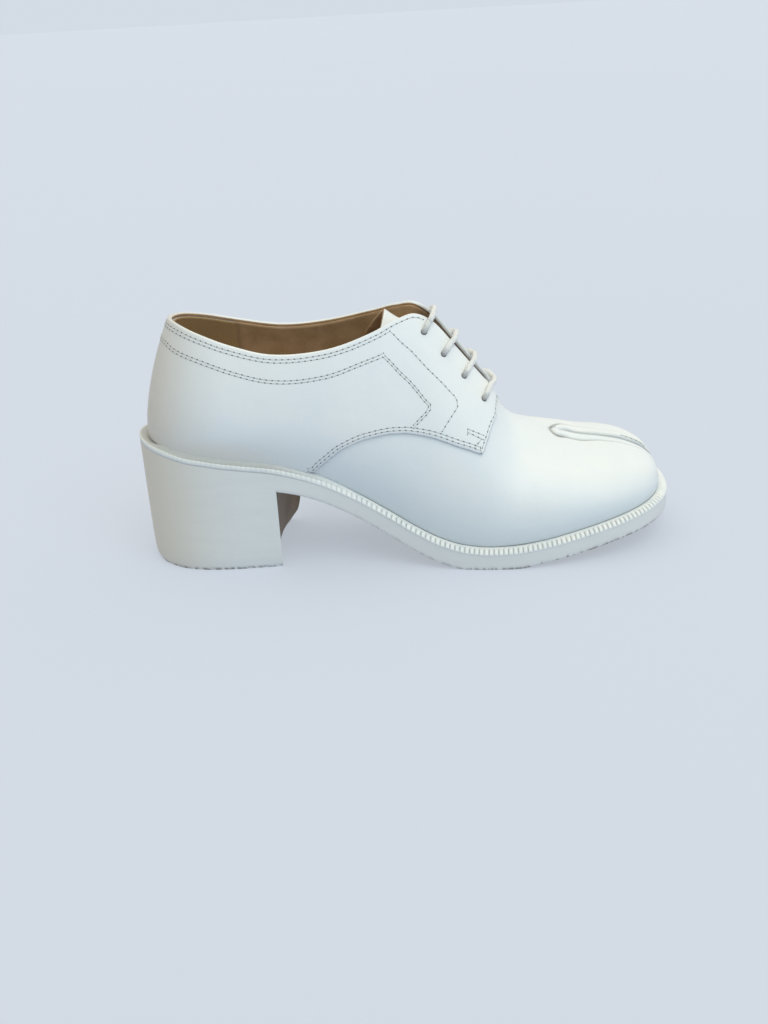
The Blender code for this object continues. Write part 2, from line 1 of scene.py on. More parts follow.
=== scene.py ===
"""The looks of a right split-toe derby: leather, stitching, notched welt, sole, lining and laces.

Shapes are worked out in millimetres in the shoe's own frame, as in the CAD source: x runs from the back
of the heel to the toe, y from the lateral side (negative) to the medial side (positive), z up from the
floor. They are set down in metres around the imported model's origin.
"""

import math

import bmesh
import bpy
import numpy as np
from mathutils import Matrix, Vector


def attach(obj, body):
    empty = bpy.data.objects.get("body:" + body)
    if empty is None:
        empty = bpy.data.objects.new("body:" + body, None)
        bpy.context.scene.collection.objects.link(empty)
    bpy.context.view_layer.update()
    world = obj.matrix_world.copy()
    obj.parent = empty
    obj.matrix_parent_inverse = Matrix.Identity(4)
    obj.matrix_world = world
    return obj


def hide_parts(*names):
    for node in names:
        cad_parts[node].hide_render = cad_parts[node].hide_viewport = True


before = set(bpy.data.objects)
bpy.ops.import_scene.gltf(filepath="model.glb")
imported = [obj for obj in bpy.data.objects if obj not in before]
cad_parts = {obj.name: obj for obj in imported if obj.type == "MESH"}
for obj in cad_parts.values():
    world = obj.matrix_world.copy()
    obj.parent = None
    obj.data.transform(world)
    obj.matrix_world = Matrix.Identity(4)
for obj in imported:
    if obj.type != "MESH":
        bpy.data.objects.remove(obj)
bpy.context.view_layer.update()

MM = 0.001
LATERAL, MEDIAL = -1, 1
SIDE_NAMES = {LATERAL: "lateral", MEDIAL: "medial"}
UP = np.array([0.0, 0.0, 1.0])

# Sizes shared with the CAD source
HEEL_X = 1.0
TOE_X = 263.4
TOE_Y = 7.0
WELT_WIDTH = 4.6
WELT_THICKNESS = 2.3
WELT_TUCK = 7.0
FOOT_GAP = 0.6
WALL = 1.8
INSOLE_THICKNESS = 2.2
TONGUE_THICKNESS = 1.8
LACE_DIAMETER = 2.8
CLEFT_START_X = 205.0
CLEFT_RAMP = 12.0
LIP_RADIUS = 2.4
BREAST_HOLLOW = 4.0

# Sizes of the finish. A fade is given as its start and its length.
LEATHER = 1.2
QUARTER_FACE = 1.6
QUARTER_SINK = 0.2
EDGE_ROUND = 0.8
HEEL_TUCK = 2.0
HEEL_TUCK_FADE = (0.0, 0.1)
RIM_ROUND = 0.9
RIM_INSIDE = 0.8
LACE_HOLE_DIAMETER = 3.2
STITCH_PITCH = 2.85
STITCH_LENGTH = 2.45
STITCH_RADIUS = 0.15
NOTCH_PITCH = 2.35
NOTCH_DEPTH = 0.75


def unit(vector):
    return vector / np.linalg.norm(vector, axis=-1, keepdims=True)


def run_length(points):
    """How far along a line each of its points lies."""
    return np.concatenate([[0], np.cumsum(np.linalg.norm(np.diff(points, axis=0), axis=1))])


class Table:
    """Rows of sizes under named columns, read as smooth curves along the first column."""

    def __init__(self, columns, *rows):
        self.columns = columns.split()
        self.values = np.array(rows, float)
        self.key = self.values[:, 0]

    def at(self, name, where, flat_start=False, supple=False):
        """The column's value, by a cubic that never overshoots its rows unless it is supple."""
        values = self.values[:, self.columns.index(name)]
        span = np.diff(self.key)
        rate = np.diff(values) / span
        slope = np.empty_like(values)
        slope[0], slope[-1] = rate[0], rate[-1]
        same_way = rate[:-1] * rate[1:] > 0
        near = 2 * span[1:] + span[:-1]
        far = span[1:] + 2 * span[:-1]
        safe = np.where(rate == 0, 1.0, rate)
        slope[1:-1] = np.where(same_way, (near + far) / (near / safe[:-1] + far / safe[1:]), 0.0)
        if supple:
            slope[1:-1] = (span[1:] * rate[:-1] + span[:-1] * rate[1:]) / (span[1:] + span[:-1])
        if flat_start:
            slope[0] = 0.0
        where = np.clip(where, self.key[0], self.key[-1])
        i = np.clip(np.searchsorted(self.key, where, side="right") - 1, 0, len(span) - 1)
        t = (where - self.key[i]) / span[i]
        rise = values[i] * (1 + 2 * t) * (1 - t) ** 2 + values[i + 1] * t**2 * (3 - 2 * t)
        lean = span[i] * (slope[i] * t * (1 - t) ** 2 - slope[i + 1] * t**2 * (1 - t))
        return rise + lean


# Plan of the welt's outer edge: half-widths either side of the line y = 0
OUTLINE = Table(
    "x lateral medial",
    (6.0, 15.5, 15.5),
    (20.0, 27.4, 27.2),
    (42.0, 31.8, 31.4),
    (70.0, 31.3, 30.4),
    (98.0, 31.6, 28.2),
    (122.0, 36.0, 29.4),
    (146.0, 42.6, 34.8),
    (170.0, 47.2, 41.6),
    (192.0, 47.8, 45.2),
    (214.0, 44.8, 45.8),
    (234.0, 39.2, 43.2),
    (249.0, 31.2, 37.2),
    (258.6, 19.5, 27.5),
)

# Side profile of the bottom: the tread under the sole and the seat that the upper stands on
PROFILE = Table(
    "x tread seat",
    (0.0, 42.6, 68.2),
    (14.0, 42.4, 63.4),
    (29.0, 42.2, 58.2),
    (42.0, 42.0, 55.5),
    (54.0, 41.8, 54.0),
    (66.0, 40.5, 52.2),
    (78.0, 37.9, 49.0),
    (89.0, 34.0, 45.2),
    (98.0, 29.8, 41.2),
    (110.0, 23.4, 35.0),
    (123.0, 15.4, 27.4),
    (135.0, 8.1, 20.2),
    (147.0, 2.6, 14.4),
    (158.0, 0.0, 11.3),
    (170.0, 0.0, 10.2),
    (182.0, 0.0, 10.6),
    (196.0, 2.2, 12.3),
    (212.0, 4.8, 15.1),
    (230.0, 8.2, 18.4),
    (250.0, 11.8, 22.2),
    (266.0, 14.2, 25.0),
)

# How far the welt and the top of the heel block lie above the seat
HEEL_SHIFT = Table(
    "x z",
    (0.0, -2.6),
    (8.0, -1.9),
    (16.0, -0.8),
    (26.0, 0.3),
    (37.0, 1.0),
    (48.0, 0.6),
    (60.0, 0.2),
    (80.0, 0.0),
)

# The middle line that splits the last into its lateral and medial halves
MIDDLE = Table("x y", (0.0, 0.0), (180.0, 0.0), (205.0, 4.6), (232.0, 6.6), (TOE_X, TOE_Y))

# The top line: collar, facing edge, throat, and the vamp's middle line down the front of the toe.
# along is the share of the half outline from heel back to toe at the rib's foot, and
# spread the distance from the middle line.
TOP_LINE = Table(
    "along x z spread",
    (0.00, 23.4, 121.4, 0.0),
    (0.06, 27.5, 120.6, 10.0),
    (0.12, 38.5, 117.0, 19.0),
    (0.18, 54.0, 111.9, 24.7),
    (0.25, 73.0, 107.4, 27.4),
    (0.33, 97.0, 107.9, 26.0),
    (0.41, 120.0, 113.6, 20.2),
    (0.455, 132.0, 118.0, 15.0),
    (0.48, 139.5, 119.2, 12.0),
    (0.505, 146.5, 115.6, 10.5),
    (0.55, 160.0, 98.6, 9.5),
    (0.59, 170.0, 85.4, 8.7),
    (0.608, 174.6, 79.4, 8.0),
    (0.622, 177.8, 72.8, 6.2),
    (0.645, 182.0, 64.4, 0.0),
    (0.68, 190.0, 60.0, 0.0),
    (0.72, 199.0, 56.0, 0.0),
    (0.76, 208.0, 51.4, 0.0),
    (0.81, 219.0, 47.4, 0.0),
    (0.86, 231.0, 45.4, 0.0),
    (0.91, 243.0, 42.6, 0.0),
    (0.95, 253.2, 37.4, 0.0),
    (0.98, 258.4, 30.8, 0.0),
    (1.00, 258.8, 24.0, 0.0),
)

# The collar stands a little higher on the medial side
MEDIAL_LIFT = Table(
    "along z", (0.15, 0.0), (0.25, 0.7), (0.33, 1.5), (0.40, 1.2), (0.435, 0.5), (0.46, 0.0)
)

# Ribs from the seat to the top line: how far each handle of the rib stands out and up
RIBS = Table(
    "along lateral_flare lateral_lift lateral_reach lateral_drop"
    " medial_flare medial_lift medial_reach medial_drop",
    (0.00, 0.8, 16.0, 7.0, 14.0, 0.8, 16.0, 7.0, 14.0),
    (0.12, 3.2, 17.0, 6.5, 16.0, 3.2, 17.0, 6.5, 16.0),
    (0.25, 5.0, 19.0, 5.5, 20.0, 4.5, 19.0, 5.5, 20.0),
    (0.38, 7.0, 24.0, 8.5, 25.0, 6.0, 24.0, 8.5, 25.0),
    (0.48, 8.0, 30.0, 14.0, 22.0, 8.0, 30.0, 14.0, 22.0),
    (0.55, 7.5, 27.0, 18.0, 9.0, 8.0, 28.0, 18.0, 9.0),
    (0.62, 6.5, 22.0, 21.0, 3.0, 7.0, 25.0, 21.0, 3.0),
    (0.70, 5.5, 18.0, 25.0, 0.0, 5.5, 22.0, 24.0, 0.0),
    (0.78, 4.5, 14.5, 25.0, 0.0, 4.5, 19.0, 21.0, -8.0),
    (0.86, 3.6, 11.5, 20.0, 0.0, 4.0, 15.5, 18.0, -9.0),
    (0.93, 2.6, 8.5, 12.0, 0.0, 3.0, 10.5, 12.0, -6.5),
    (0.97, 1.6, 4.5, 6.0, 0.0, 1.8, 5.0, 6.0, -2.5),
    (1.00, 0.0, 0.0, 0.0, 0.0, 0.0, 0.0, 0.0, 0.0),
)

# Where the upper handle turns from square to the outline to straight across the shoe
HANDLE_TURN = (0.3, 0.3)

# Ribs beyond this share of the outline are too short to have a normal of their own
LAST_END = 0.997


def closed_curve(points, per_span):
    """Points on the smooth closed curve through the given points, with per_span points in each span."""
    count = len(points)
    after = np.roll(points, -1, axis=0)
    span = np.linalg.norm(after - points, axis=1)
    before = np.roll(span, 1)
    system = np.zeros((count, count))
    for i in range(count):
        system[i, i] = 2 * (before[i] + span[i])
        system[i, i - 1] += before[i]
        system[i, (i + 1) % count] += span[i]
    rate = (after - points) / span[:, None]
    bend = np.linalg.solve(system, 6 * (rate - np.roll(rate, 1, axis=0)))
    next_bend = np.roll(bend, -1, axis=0)
    found = []
    for t in np.arange(per_span) / per_span:
        h = span[:, None]
        near, far = (1 - t) * h, t * h
        cubic = (near**3 * bend + far**3 * next_bend) / (6 * h)
        line = (points / h - bend * h / 6) * near + (after / h - next_bend * h / 6) * far
        found.append(cubic + line)
    return np.stack(found, axis=1).reshape(-1, points.shape[1])


class Outline:
    """The welt's outer edge, measured from the heel back to the toe along either side."""

    PER_SPAN = 60

    def __init__(self):
        x = OUTLINE.values[:, 0]
        lateral = np.stack([x, -OUTLINE.values[:, 1]], axis=1)
        medial = np.stack([x, OUTLINE.values[:, 2]], axis=1)
        heel, toe = np.array([[HEEL_X, 0.0]]), np.array([[TOE_X, TOE_Y]])
        loop = closed_curve(np.concatenate([heel, lateral, toe, medial[::-1]]), self.PER_SPAN)
        tangent = unit(np.roll(loop, -1, axis=0) - np.roll(loop, 1, axis=0))
        normal = np.stack([tangent[:, 1], -tangent[:, 0]], axis=1)
        turn = (len(x) + 1) * self.PER_SPAN
        lateral_half = np.arange(turn + 1)
        medial_half = np.concatenate([[0], np.arange(len(loop) - 1, turn - 1, -1)])
        self.halves = {}
        for side, index in ((LATERAL, lateral_half), (MEDIAL, medial_half)):
            run = run_length(loop[index])
            self.halves[side] = (run / run[-1], loop[index], normal[index])

    def at(self, side, along, inset=0.0):
        """Plan points and outward normals at these shares of the half outline."""
        share, points, normals = self.halves[side]
        point = np.stack([np.interp(along, share, points[:, k]) for k in (0, 1)], axis=-1)
        normal = unit(np.stack([np.interp(along, share, normals[:, k]) for k in (0, 1)], axis=-1))
        return point - normal * inset, normal

    def along_at_x(self, side, x):
        share, points, _ = self.halves[side]
        return np.interp(x, points[:, 0], share)


PLAN = Outline()


def seat(x):
    return PROFILE.at("seat", x)


def smooth_step(t):
    t = np.clip(t, 0, 1)
    return t * t * (3 - 2 * t)


def fade_in(value, start, length):
    """0 up to the start, then smoothly up to 1 over this length."""
    return smooth_step((value - start) / length)


def fade_out(value, start, length):
    """1 up to the start, then smoothly down to 0 over this length."""
    return 1 - fade_in(value, start, length)


def bell(distance, width):
    """1 at no distance, falling off evenly to either side."""
    return np.exp(-((distance / width) ** 2))


def cleft_strength(x):
    """0 behind the split, 1 where the two toe lobes stand fully apart."""
    return fade_in(x, CLEFT_START_X, CLEFT_RAMP)


def whole_last(side, along, rise):
    """Outer face of the upper before the toe is split, as points for each along and rise."""
    along, rise = np.broadcast_arrays(np.asarray(along, float), np.asarray(rise, float))
    tuck = HEEL_TUCK * fade_out(along, *HEEL_TUCK_FADE)
    foot, normal = PLAN.at(side, along, (WELT_WIDTH + tuck)[..., None])
    height = seat(foot[..., 0]) + np.minimum(HEEL_SHIFT.at("z", foot[..., 0]), 0) + FOOT_GAP
    foot = np.concatenate([foot, height[..., None]], axis=-1)
    out = np.concatenate([normal, np.zeros(along.shape + (1,))], axis=-1)
    x = TOP_LINE.at("x", along, flat_start=True, supple=True)
    spread = TOP_LINE.at("spread", along)
    height = TOP_LINE.at("z", along, flat_start=True, supple=True)
    if side == MEDIAL:
        height = height + MEDIAL_LIFT.at("z", along, supple=True)
    top = np.stack([x, MIDDLE.at("y", x) + side * spread, height], axis=-1)
    names = [f"{SIDE_NAMES[side]}_{name}" for name in ("flare", "lift", "reach", "drop")]
    flare, lift, reach, drop = (RIBS.at(name, along, flat_start=True)[..., None] for name in names)
    low = foot + out * flare + UP * lift
    turn = fade_in(along, *HANDLE_TURN)[..., None]
    across = out * (1 - turn) + np.array([0.0, side, 0.0]) * turn
    high = top + across * reach - UP * drop
    t = rise[..., None]
    return foot * (1 - t) ** 3 + low * 3 * t * (1 - t) ** 2 + high * 3 * t**2 * (1 - t) + top * t**3


def last_normal(side, along, rise, face=whole_last):
    """Outward normals of a face of the last."""
    step = 1e-3
    along, rise = np.minimum(along, LAST_END), np.asarray(rise, float)
    back, fore = np.clip(along - step, 0, 1), np.clip(along + step, 0, 1)
    low, high = np.clip(rise - step, 0, 1), np.clip(rise + step, 0, 1)
    forward = face(side, fore, rise) - face(side, back, rise)
    upward = face(side, along, high) - face(side, along, low)
    return unit(np.cross(upward, forward) * side)


# The quarter's lower and front edge on the last, from the heel back to the throat
QUARTER_EDGE = Table(
    "along rise",
    (0.000, 0.012),
    (0.318, 0.012),
    (0.331, 0.036),
    (0.347, 0.138),
    (0.375, 0.299),
    (0.407, 0.385),
    (0.446, 0.427),
    (0.486, 0.445),
    (0.524, 0.463),
    (0.567, 0.487),
    (0.589, 0.500),
    (0.598, 0.577),
    (0.606, 0.676),
    (0.613, 0.766),
    (0.616, 0.861),
    (0.6185, 0.950),
)

# Lace holes as along and rise, from the top down. The bars lean forward to the medial side.
LACE_HOLES = {
    LATERAL: ((0.4964, 0.905), (0.5256, 0.851), (0.5564, 0.833), (0.5919, 0.801)),
    MEDIAL: ((0.5004, 0.900), (0.5296, 0.848), (0.5604, 0.830), (0.5959, 0.800)),
}
# How far along the last each bar has moved forward where it leaves the facing, and how much
# further on the medial side
LACE_LEANS = (0.0090, 0.0110, 0.0130, 0.0135)
MEDIAL_LEAN = 0.002

# The tongue's upper face, from under the vamp to its top: height in the middle, half-width,
# and how far its edges hang below the middle
TONGUE = Table(
    "x z half_width hang",
    (122.0, 119.5, 15.0, 12.0),
    (128.0, 115.4, 14.0, 8.6),
    (134.0, 112.8, 13.2, 6.6),
    (140.0, 110.6, 12.6, 5.4),
    (150.0, 104.6, 13.0, 5.8),
    (160.0, 92.6, 14.6, 7.2),
    (170.0, 78.6, 16.2, 8.6),
    (178.0, 65.6, 15.2, 6.8),
    (184.0, 58.8, 13.0, 4.2),
    (191.0, 55.6, 11.0, 2.5),
)

# The heel block from the floor up: share of its height, inset from the welt, and the x of
# the breast's lateral and medial corners
HEEL_BLOCK = Table(
    "share inset lateral medial",
    (0.00, 2.8, 68.8, 69.0),
    (0.04, 1.7, 69.0, 70.5),
    (0.12, 1.1, 69.0, 73.2),
    (0.30, 0.8, 69.2, 75.0),
    (1.00, 0.3, 69.2, 76.0),
)


# Meshes

EDGES = np.concatenate([PLAN.halves[side][1] for side in (LATERAL, MEDIAL)])
ORIGIN = np.array([*(EDGES.min(axis=0) + EDGES.max(axis=0)) / 2, 0.0])


class Skin:
    """Points, faces, finishes and painted values gathered into one mesh."""

    def __init__(self, *paints):
        self.points = []
        self.faces = []
        self.finishes = []
        self.paints = {name: [] for name in paints}
        self.count = 0

    def add(self, points, faces, finish=0, **paint):
        """Points in millimetres, faces as rows of point numbers, and a painted value for each point."""
        points = np.asarray(points, float).reshape(-1, 3)
        self.points.append(points)
        self.faces.extend((np.asarray(faces) + self.count).tolist())
        self.finishes.extend([finish] * len(faces))
        for name, values in self.paints.items():
            values.append(np.broadcast_to(np.ravel(paint.get(name, 0.0)), len(points)))
        self.count += len(points)

    def add_grid(self, grid, flip=False, finish=0, **paint):
        rows, columns = grid.shape[:2]
        corner = (np.arange(rows - 1)[:, None] * columns + np.arange(columns - 1)).ravel()
        faces = np.stack([corner, corner + columns, corner + columns + 1, corner + 1], axis=1)
        paint = {name: np.broadcast_to(value, (rows, columns)) for name, value in paint.items()}
        self.add(grid, faces[:, ::-1] if flip else faces, finish, **paint)

    def add_disc(self, ring, finish):
        self.add(ring, [list(range(len(ring)))], finish)

    def make(self, name, finishes, sharp_above=60.0):
        """The mesh as an object, with points that coincide joined."""
        mesh = bpy.data.meshes.new(name)
        points = (np.concatenate(self.points) - ORIGIN) * MM
        mesh.from_pydata(points.tolist(), [], self.faces)
        for finish in finishes:
            mesh.materials.append(finish)
        mesh.polygons.foreach_set("material_index", self.finishes)
        for paint, values in self.paints.items():
            layer = mesh.attributes.new(paint, "FLOAT", "POINT")
            layer.data.foreach_set("value", np.concatenate(values).astype(np.float32))
        join_points(mesh)
        mesh.polygons.foreach_set("use_smooth", [True] * len(mesh.polygons))
        mesh.set_sharp_from_angle(angle=math.radians(sharp_above))
        made = bpy.data.objects.new(name, mesh)
        bpy.context.scene.collection.objects.link(made)
        return made


def join_points(mesh):
    work = bmesh.new()
    work.from_mesh(mesh)
    bmesh.ops.remove_doubles(work, verts=work.verts, dist=2e-6)
    bmesh.ops.dissolve_degenerate(work, edges=work.edges, dist=1e-7)
    work.to_mesh(mesh)
    work.free()


def settle(piece, slot, *nodes):
    """Rides the piece on the shoe and hides the CAD nodes that it stands for. The slot is not used."""
    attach(piece, "root")
    if nodes:
        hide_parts(*nodes)


def wall(piece, thickness, inner_finish=0):
    """Gives an open skin its thickness on the inside."""
    thick = piece.modifiers.new("wall", "SOLIDIFY")
    thick.thickness = thickness * MM
    thick.offset = -1.0
    thick.material_offset = inner_finish
    thick.material_offset_rim = inner_finish


# Finishes


class Nodes:
    """A few kinds of node in one node tree."""

    def __init__(self, tree):
        self.tree = tree

    def node(self, kind, **inputs):
        made = self.tree.nodes.new(kind)
        for name, value in inputs.items():
            self.feed(made.inputs[name], value)
        return made

    def feed(self, socket, value):
        if isinstance(value, bpy.types.NodeSocket):
            self.tree.links.new(value, socket)
        else:
            socket.default_value = value

    def ramp(self, value, low, high, start=0.0, end=1.0):
        """A smooth change from start to end as the value goes from low to high."""
        made = self.tree.nodes.new("ShaderNodeMapRange")
        made.interpolation_type = "SMOOTHSTEP"
        for socket, given in zip(made.inputs, (value, low, high, start, end)):
            self.feed(socket, given)
        return made.outputs["Result"]

    def math(self, operation, first, second):
        made = self.tree.nodes.new("ShaderNodeMath")
        made.operation = operation
        self.feed(made.inputs[0], first)
        self.feed(made.inputs[1], second)
        return made.outputs[0]

    def blend(self, share, first, second):
        """One colour turning into another."""
        made = self.tree.nodes.new("ShaderNodeMix")
        made.data_type = "RGBA"
        for index, given in ((0, share), (6, first), (7, second)):
            self.feed(made.inputs[index], given)
        return made.outputs[2]


class Finish(Nodes):
    """A material, placed by the shoe's own coordinates."""

    def __init__(self, name, roughness, colour):
        self.body = rgb(*colour)
        self.material = bpy.data.materials.new(name)
        self.material.use_nodes = True
        super().__init__(self.material.node_tree)
        self.shader = self.tree.nodes["Principled BSDF"]
        self.shader.inputs["Roughness"].default_value = roughness
        self.place = self.node("ShaderNodeTexCoord").outputs["Object"]

    def noise(self, size, detail=3.0, stretch=(1.0, 1.0, 1.0)):
        """Cloudy values from 0 to 1, with clouds about this many millimetres across."""
        place = self.node("ShaderNodeMapping", Vector=self.place, Scale=stretch).outputs["Vector"]
        made = self.node("ShaderNodeTexNoise", Vector=place, Scale=1 / (size * MM), Detail=detail)
        return made.outputs["Fac"]

    def clouds(self, size, low, high, share=1.0, detail=3.0, stretch=(1.0, 1.0, 1.0)):
        """Soft patches of noise, from 0 where it is low to this share where it is high."""
        return self.ramp(self.noise(size, detail, stretch), low, high, 0.0, share)

    def cells(self, size):
        """Distance from the edges of cells about this many millimetres across."""
        made = self.node("ShaderNodeTexVoronoi", Vector=self.place, Scale=1 / (size * MM))
        made.feature = "DISTANCE_TO_EDGE"
        return made.outputs["Distance"]

    def painted(self, name):
        made = self.node("ShaderNodeAttribute")
        made.attribute_name = name
        return made.outputs["Fac"]

    def tint(self, share, colour):
        """Turns the colour so far into another one, as far as the share says."""
        self.body = self.blend(share, self.body, rgb(*colour))
        self.feed(self.shader.inputs["Base Color"], self.body)

    def roughness(self, value):
        self.feed(self.shader.inputs["Roughness"], value)

    def bump(self, *layers):
        """Relief in layers, each a value and the height in millimetres that it stands for."""
        normal = None
        for height, distance in layers:
            made = self.node("ShaderNodeBump", Height=height, Distance=distance * MM)
            if normal:
                self.feed(made.inputs["Normal"], normal)
            normal = made.outputs["Normal"]
        self.feed(self.shader.inputs["Normal"], normal)


def rgb(red, green, blue):
    return (red, green, blue, 1.0)


def white_leather():
    """Painted calf leather: satin, faintly mottled, finely grained, with painted shade in its creases,
    towards the welt and round the heel.
    """
    finish = Finish("white_leather", 0.42, (0.80, 0.83, 0.84))
    finish.tint(finish.clouds(38.0, 0.35, 0.65), (0.84, 0.85, 0.84))
    finish.tint(finish.clouds(1.6, 0.60, 0.78, share=0.10, detail=5.0), (0.62, 0.64, 0.63))
    # Painted shade: blue-grey towards the welt
    finish.tint(finish.painted("shade"), (0.60, 0.66, 0.70))
    # Warm painted shade round the back of the heel, with grime along the foot of the counter
    finish.tint(finish.painted("warmth"), (0.62, 0.57, 0.50))
    # Painted shade in the split's crease, groove and walls, at the foot against the welt and in the throat;
    # also the dark line of the back seam
    finish.tint(finish.painted("crease"), (0.20, 0.19, 0.18))
    finish.roughness(finish.ramp(finish.noise(6.0), 0.3, 0.7, 0.36, 0.48))
    grain = finish.ramp(finish.cells(0.55), 0.0, 0.28)
    finish.bump((finish.noise(14.0, 2.0), 0.30), (finish.noise(2.2, 4.0), 0.05), (grain, 0.018))
    return finish.material


def lining_leather():
    """Tan pigskin with pores, darker and napped at the heel."""
    finish = Finish("tan_lining", 0.62, (0.38, 0.225, 0.105))
    finish.tint(finish.clouds(9.0, 0.3, 0.7, detail=5.0), (0.48, 0.30, 0.155))
    finish.tint(finish.painted("heel_part"), (0.40, 0.25, 0.11))
    finish.tint(finish.clouds(0.7, 0.62, 0.72, share=0.35, detail=2.0), (0.13, 0.07, 0.03))
    # Painted shade in the throat, and the dark line of the heel grip's seam
    finish.tint(finish.painted("crease"), (0.07, 0.04, 0.02))
    finish.roughness(finish.ramp(finish.noise(3.0), 0.3, 0.7, 0.55, 0.72))
    finish.bump((finish.noise(5.0, 3.0), 0.12), (finish.noise(0.6, 3.0), 0.04))
    return finish.material


def welt_leather():
    """The welt: the upper's white paint over bare leather, with painted shade in its notches, in its crease
    against the upper and over it round the heel.
    """
    finish = Finish("welt_leather", 0.5, (0.76, 0.79, 0.79))
    finish.tint(finish.clouds(7.0, 0.3, 0.7, detail=4.0), (0.83, 0.84, 0.82))
    # Painted shade: over the welt round the heel, where its ledge faces the top light, in the notches, and in
    # the crease against the upper
    finish.tint(finish.painted("dull"), (0.47, 0.475, 0.455))
    finish.tint(finish.painted("notch"), (0.34, 0.37, 0.38))
    finish.tint(finish.painted("crease"), (0.13, 0.13, 0.13))
    finish.roughness(finish.ramp(finish.noise(2.0), 0.3, 0.7, 0.42, 0.6))
    finish.bump((finish.noise(1.2, 4.0), 0.05))
    return finish.material


def painted_edge():
    """The painted edge of sole and heel: faint streaks along it, scuffs and dirt at the floor."""
    finish = Finish("painted_sole", 0.5, (0.68, 0.69, 0.685))
    streak = finish.clouds(5.0, 0.2, 0.8, detail=4.0, stretch=(0.25, 0.25, 1.6))
    finish.tint(streak, (0.71, 0.72, 0.705))
    # Warm painted shade round the back of the heel
    finish.tint(finish.painted("warmth"), (0.66, 0.60, 0.50))
    finish.tint(finish.clouds(1.1, 0.66, 0.76, share=0.35), (0.45, 0.46, 0.45))
    ragged = finish.clouds(2.4, 0.42, 0.58, detail=5.0, stretch=(1.0, 1.0, 0.35))
    scuff = finish.math("MULTIPLY", finish.painted("scuff"), ragged)
    finish.tint(scuff, (0.20, 0.175, 0.15))
    finish.roughness(finish.ramp(scuff, 0.0, 1.0, 0.48, 0.8))
    finish.bump((streak, 0.02), (finish.noise(0.8, 3.0), 0.02), (scuff, -0.25))
    return finish.material


def brown_sole():
    """Sole leather under the waist and on the heel breast, worn grey where it meets the floor."""
    finish = Finish("sole_leather", 0.55, (0.125, 0.075, 0.032))
    finish.shader.inputs["Specular IOR Level"].default_value = 0.2
    finish.tint(finish.clouds(12.0, 0.3, 0.7, detail=5.0), (0.19, 0.115, 0.052))
    patches = finish.clouds(6.0, 0.42, 0.7, detail=6.0, stretch=(0.4, 1.0, 1.0))
    worn = finish.math("MULTIPLY", patches, finish.painted("scuff"))
    finish.tint(worn, (0.27, 0.235, 0.19))
    finish.roughness(finish.ramp(worn, 0.0, 1.0, 0.45, 0.85))
    finish.bump((finish.noise(3.0, 5.0), 0.08), (finish.noise(0.7, 3.0), 0.03))
    return finish.material


def thread():
    """Waxed thread, twisted: a white thread greyed with the painted shade of the dents it sinks into."""
    finish = Finish("thread", 0.6, (0.46, 0.48, 0.48))
    finish.tint(finish.noise(0.5), (0.58, 0.60, 0.59))
    finish.bump((finish.noise(0.25, 2.0), 0.04))
    return finish.material


def hole_shade():
    """Painted shade of a punched hole, for the flat dark discs at the stitch ends and lace holes."""
    finish = Finish("hole_shade", 0.9, (0.13, 0.12, 0.11))
    finish.tint(finish.noise(0.4), (0.21, 0.19, 0.18))
    return finish.material


def lace_cotton():
    """Braided cotton: two sets of strands that cross over each other round the cord."""
    finish = Finish("lace_cotton", 0.78, (0.78, 0.79, 0.78))
    along = finish.node("ShaderNodeUVMap").outputs["UV"]
    strands = []
    for turn in (1.0, -1.0):
        skew = finish.node("ShaderNodeMapping", Vector=along, Rotation=(0.0, 0.0, turn * math.radians(45)))
        wave = finish.node("ShaderNodeTexWave", Vector=skew.outputs["Vector"], Scale=0.9, Distortion=0.0)
        strands.append(wave.outputs["Fac"])
    braid = finish.math("MAXIMUM", *strands)
    finish.tint(finish.ramp(braid, 0.3, 1.0), (0.94, 0.94, 0.93))
    finish.tint(finish.clouds(2.5, 0.55, 0.8, share=0.2, detail=4.0), (0.55, 0.53, 0.48))
    # Painted shade at the lace's ends, where it goes into its holes
    finish.tint(finish.math("MULTIPLY", finish.painted("end"), 0.6), (0.28, 0.25, 0.22))
    finish.bump((braid, 0.16), (finish.noise(0.3, 2.0), 0.03))
    return finish.material


# The upper

# The eased bend of the vamp, and the rise from which its sides keep their place
VAMP_EASE = 0.018
VAMP_EASE_IN = (0.58, 0.05)
VAMP_EASE_OUT = (0.66, 0.07)
VAMP_KEEP = (0.85, 0.15)

# The toe's split, the painted shade in its groove and on its walls, and its lips, whose crown and fall are
# shares of their width
SLIT_X = 210.5
SLIT_LEAN = 3.5
SLIT_LEAN_FADE = (CLEFT_START_X, 9.0)
GROOVE_SHADE = 0.26
GROOVE_FADE = (211.0, 4.0)
GROOVE_WIDTH = 2.3
LIP_START_FADE = (207.0, 9.0)
LIP_CROWN = 0.45
LIP_FALL = 0.4
LIP_CREASE_DEPTH = 0.22
CLEFT_SHADE = 0.5
TIP_SHADE = 0.45
TIP_SHADE_FADE = (244.0, 9.0)
CLEFT_ALONG = 0.746
ROOT_BOTTOM_X = 230.0
CLEFT_DEPTH = np.array([0.0, 0.05, 0.12, 0.22, 0.35, 0.5, 0.66, 0.83, 1.0])

# Steps along the outline and up the ribs
UPPER_ALONG = np.concatenate(
    [
        np.linspace(0.0, 0.29, 26),
        np.linspace(0.295, 0.62, 66),
        np.linspace(0.624, 0.742, 31),
        np.linspace(CLEFT_ALONG, 0.97, 84),
        np.linspace(0.972, 1.0, 15),
    ]
)
UPPER_RISE = np.concatenate([np.linspace(0.0, 0.84, 36), np.linspace(0.844, 1.0, 52)])

# The upper ends a little below the quarters' rim, as far as the throat
UNDER_RIM = 0.97
UNDER_RIM_END = (0.60, 0.045)

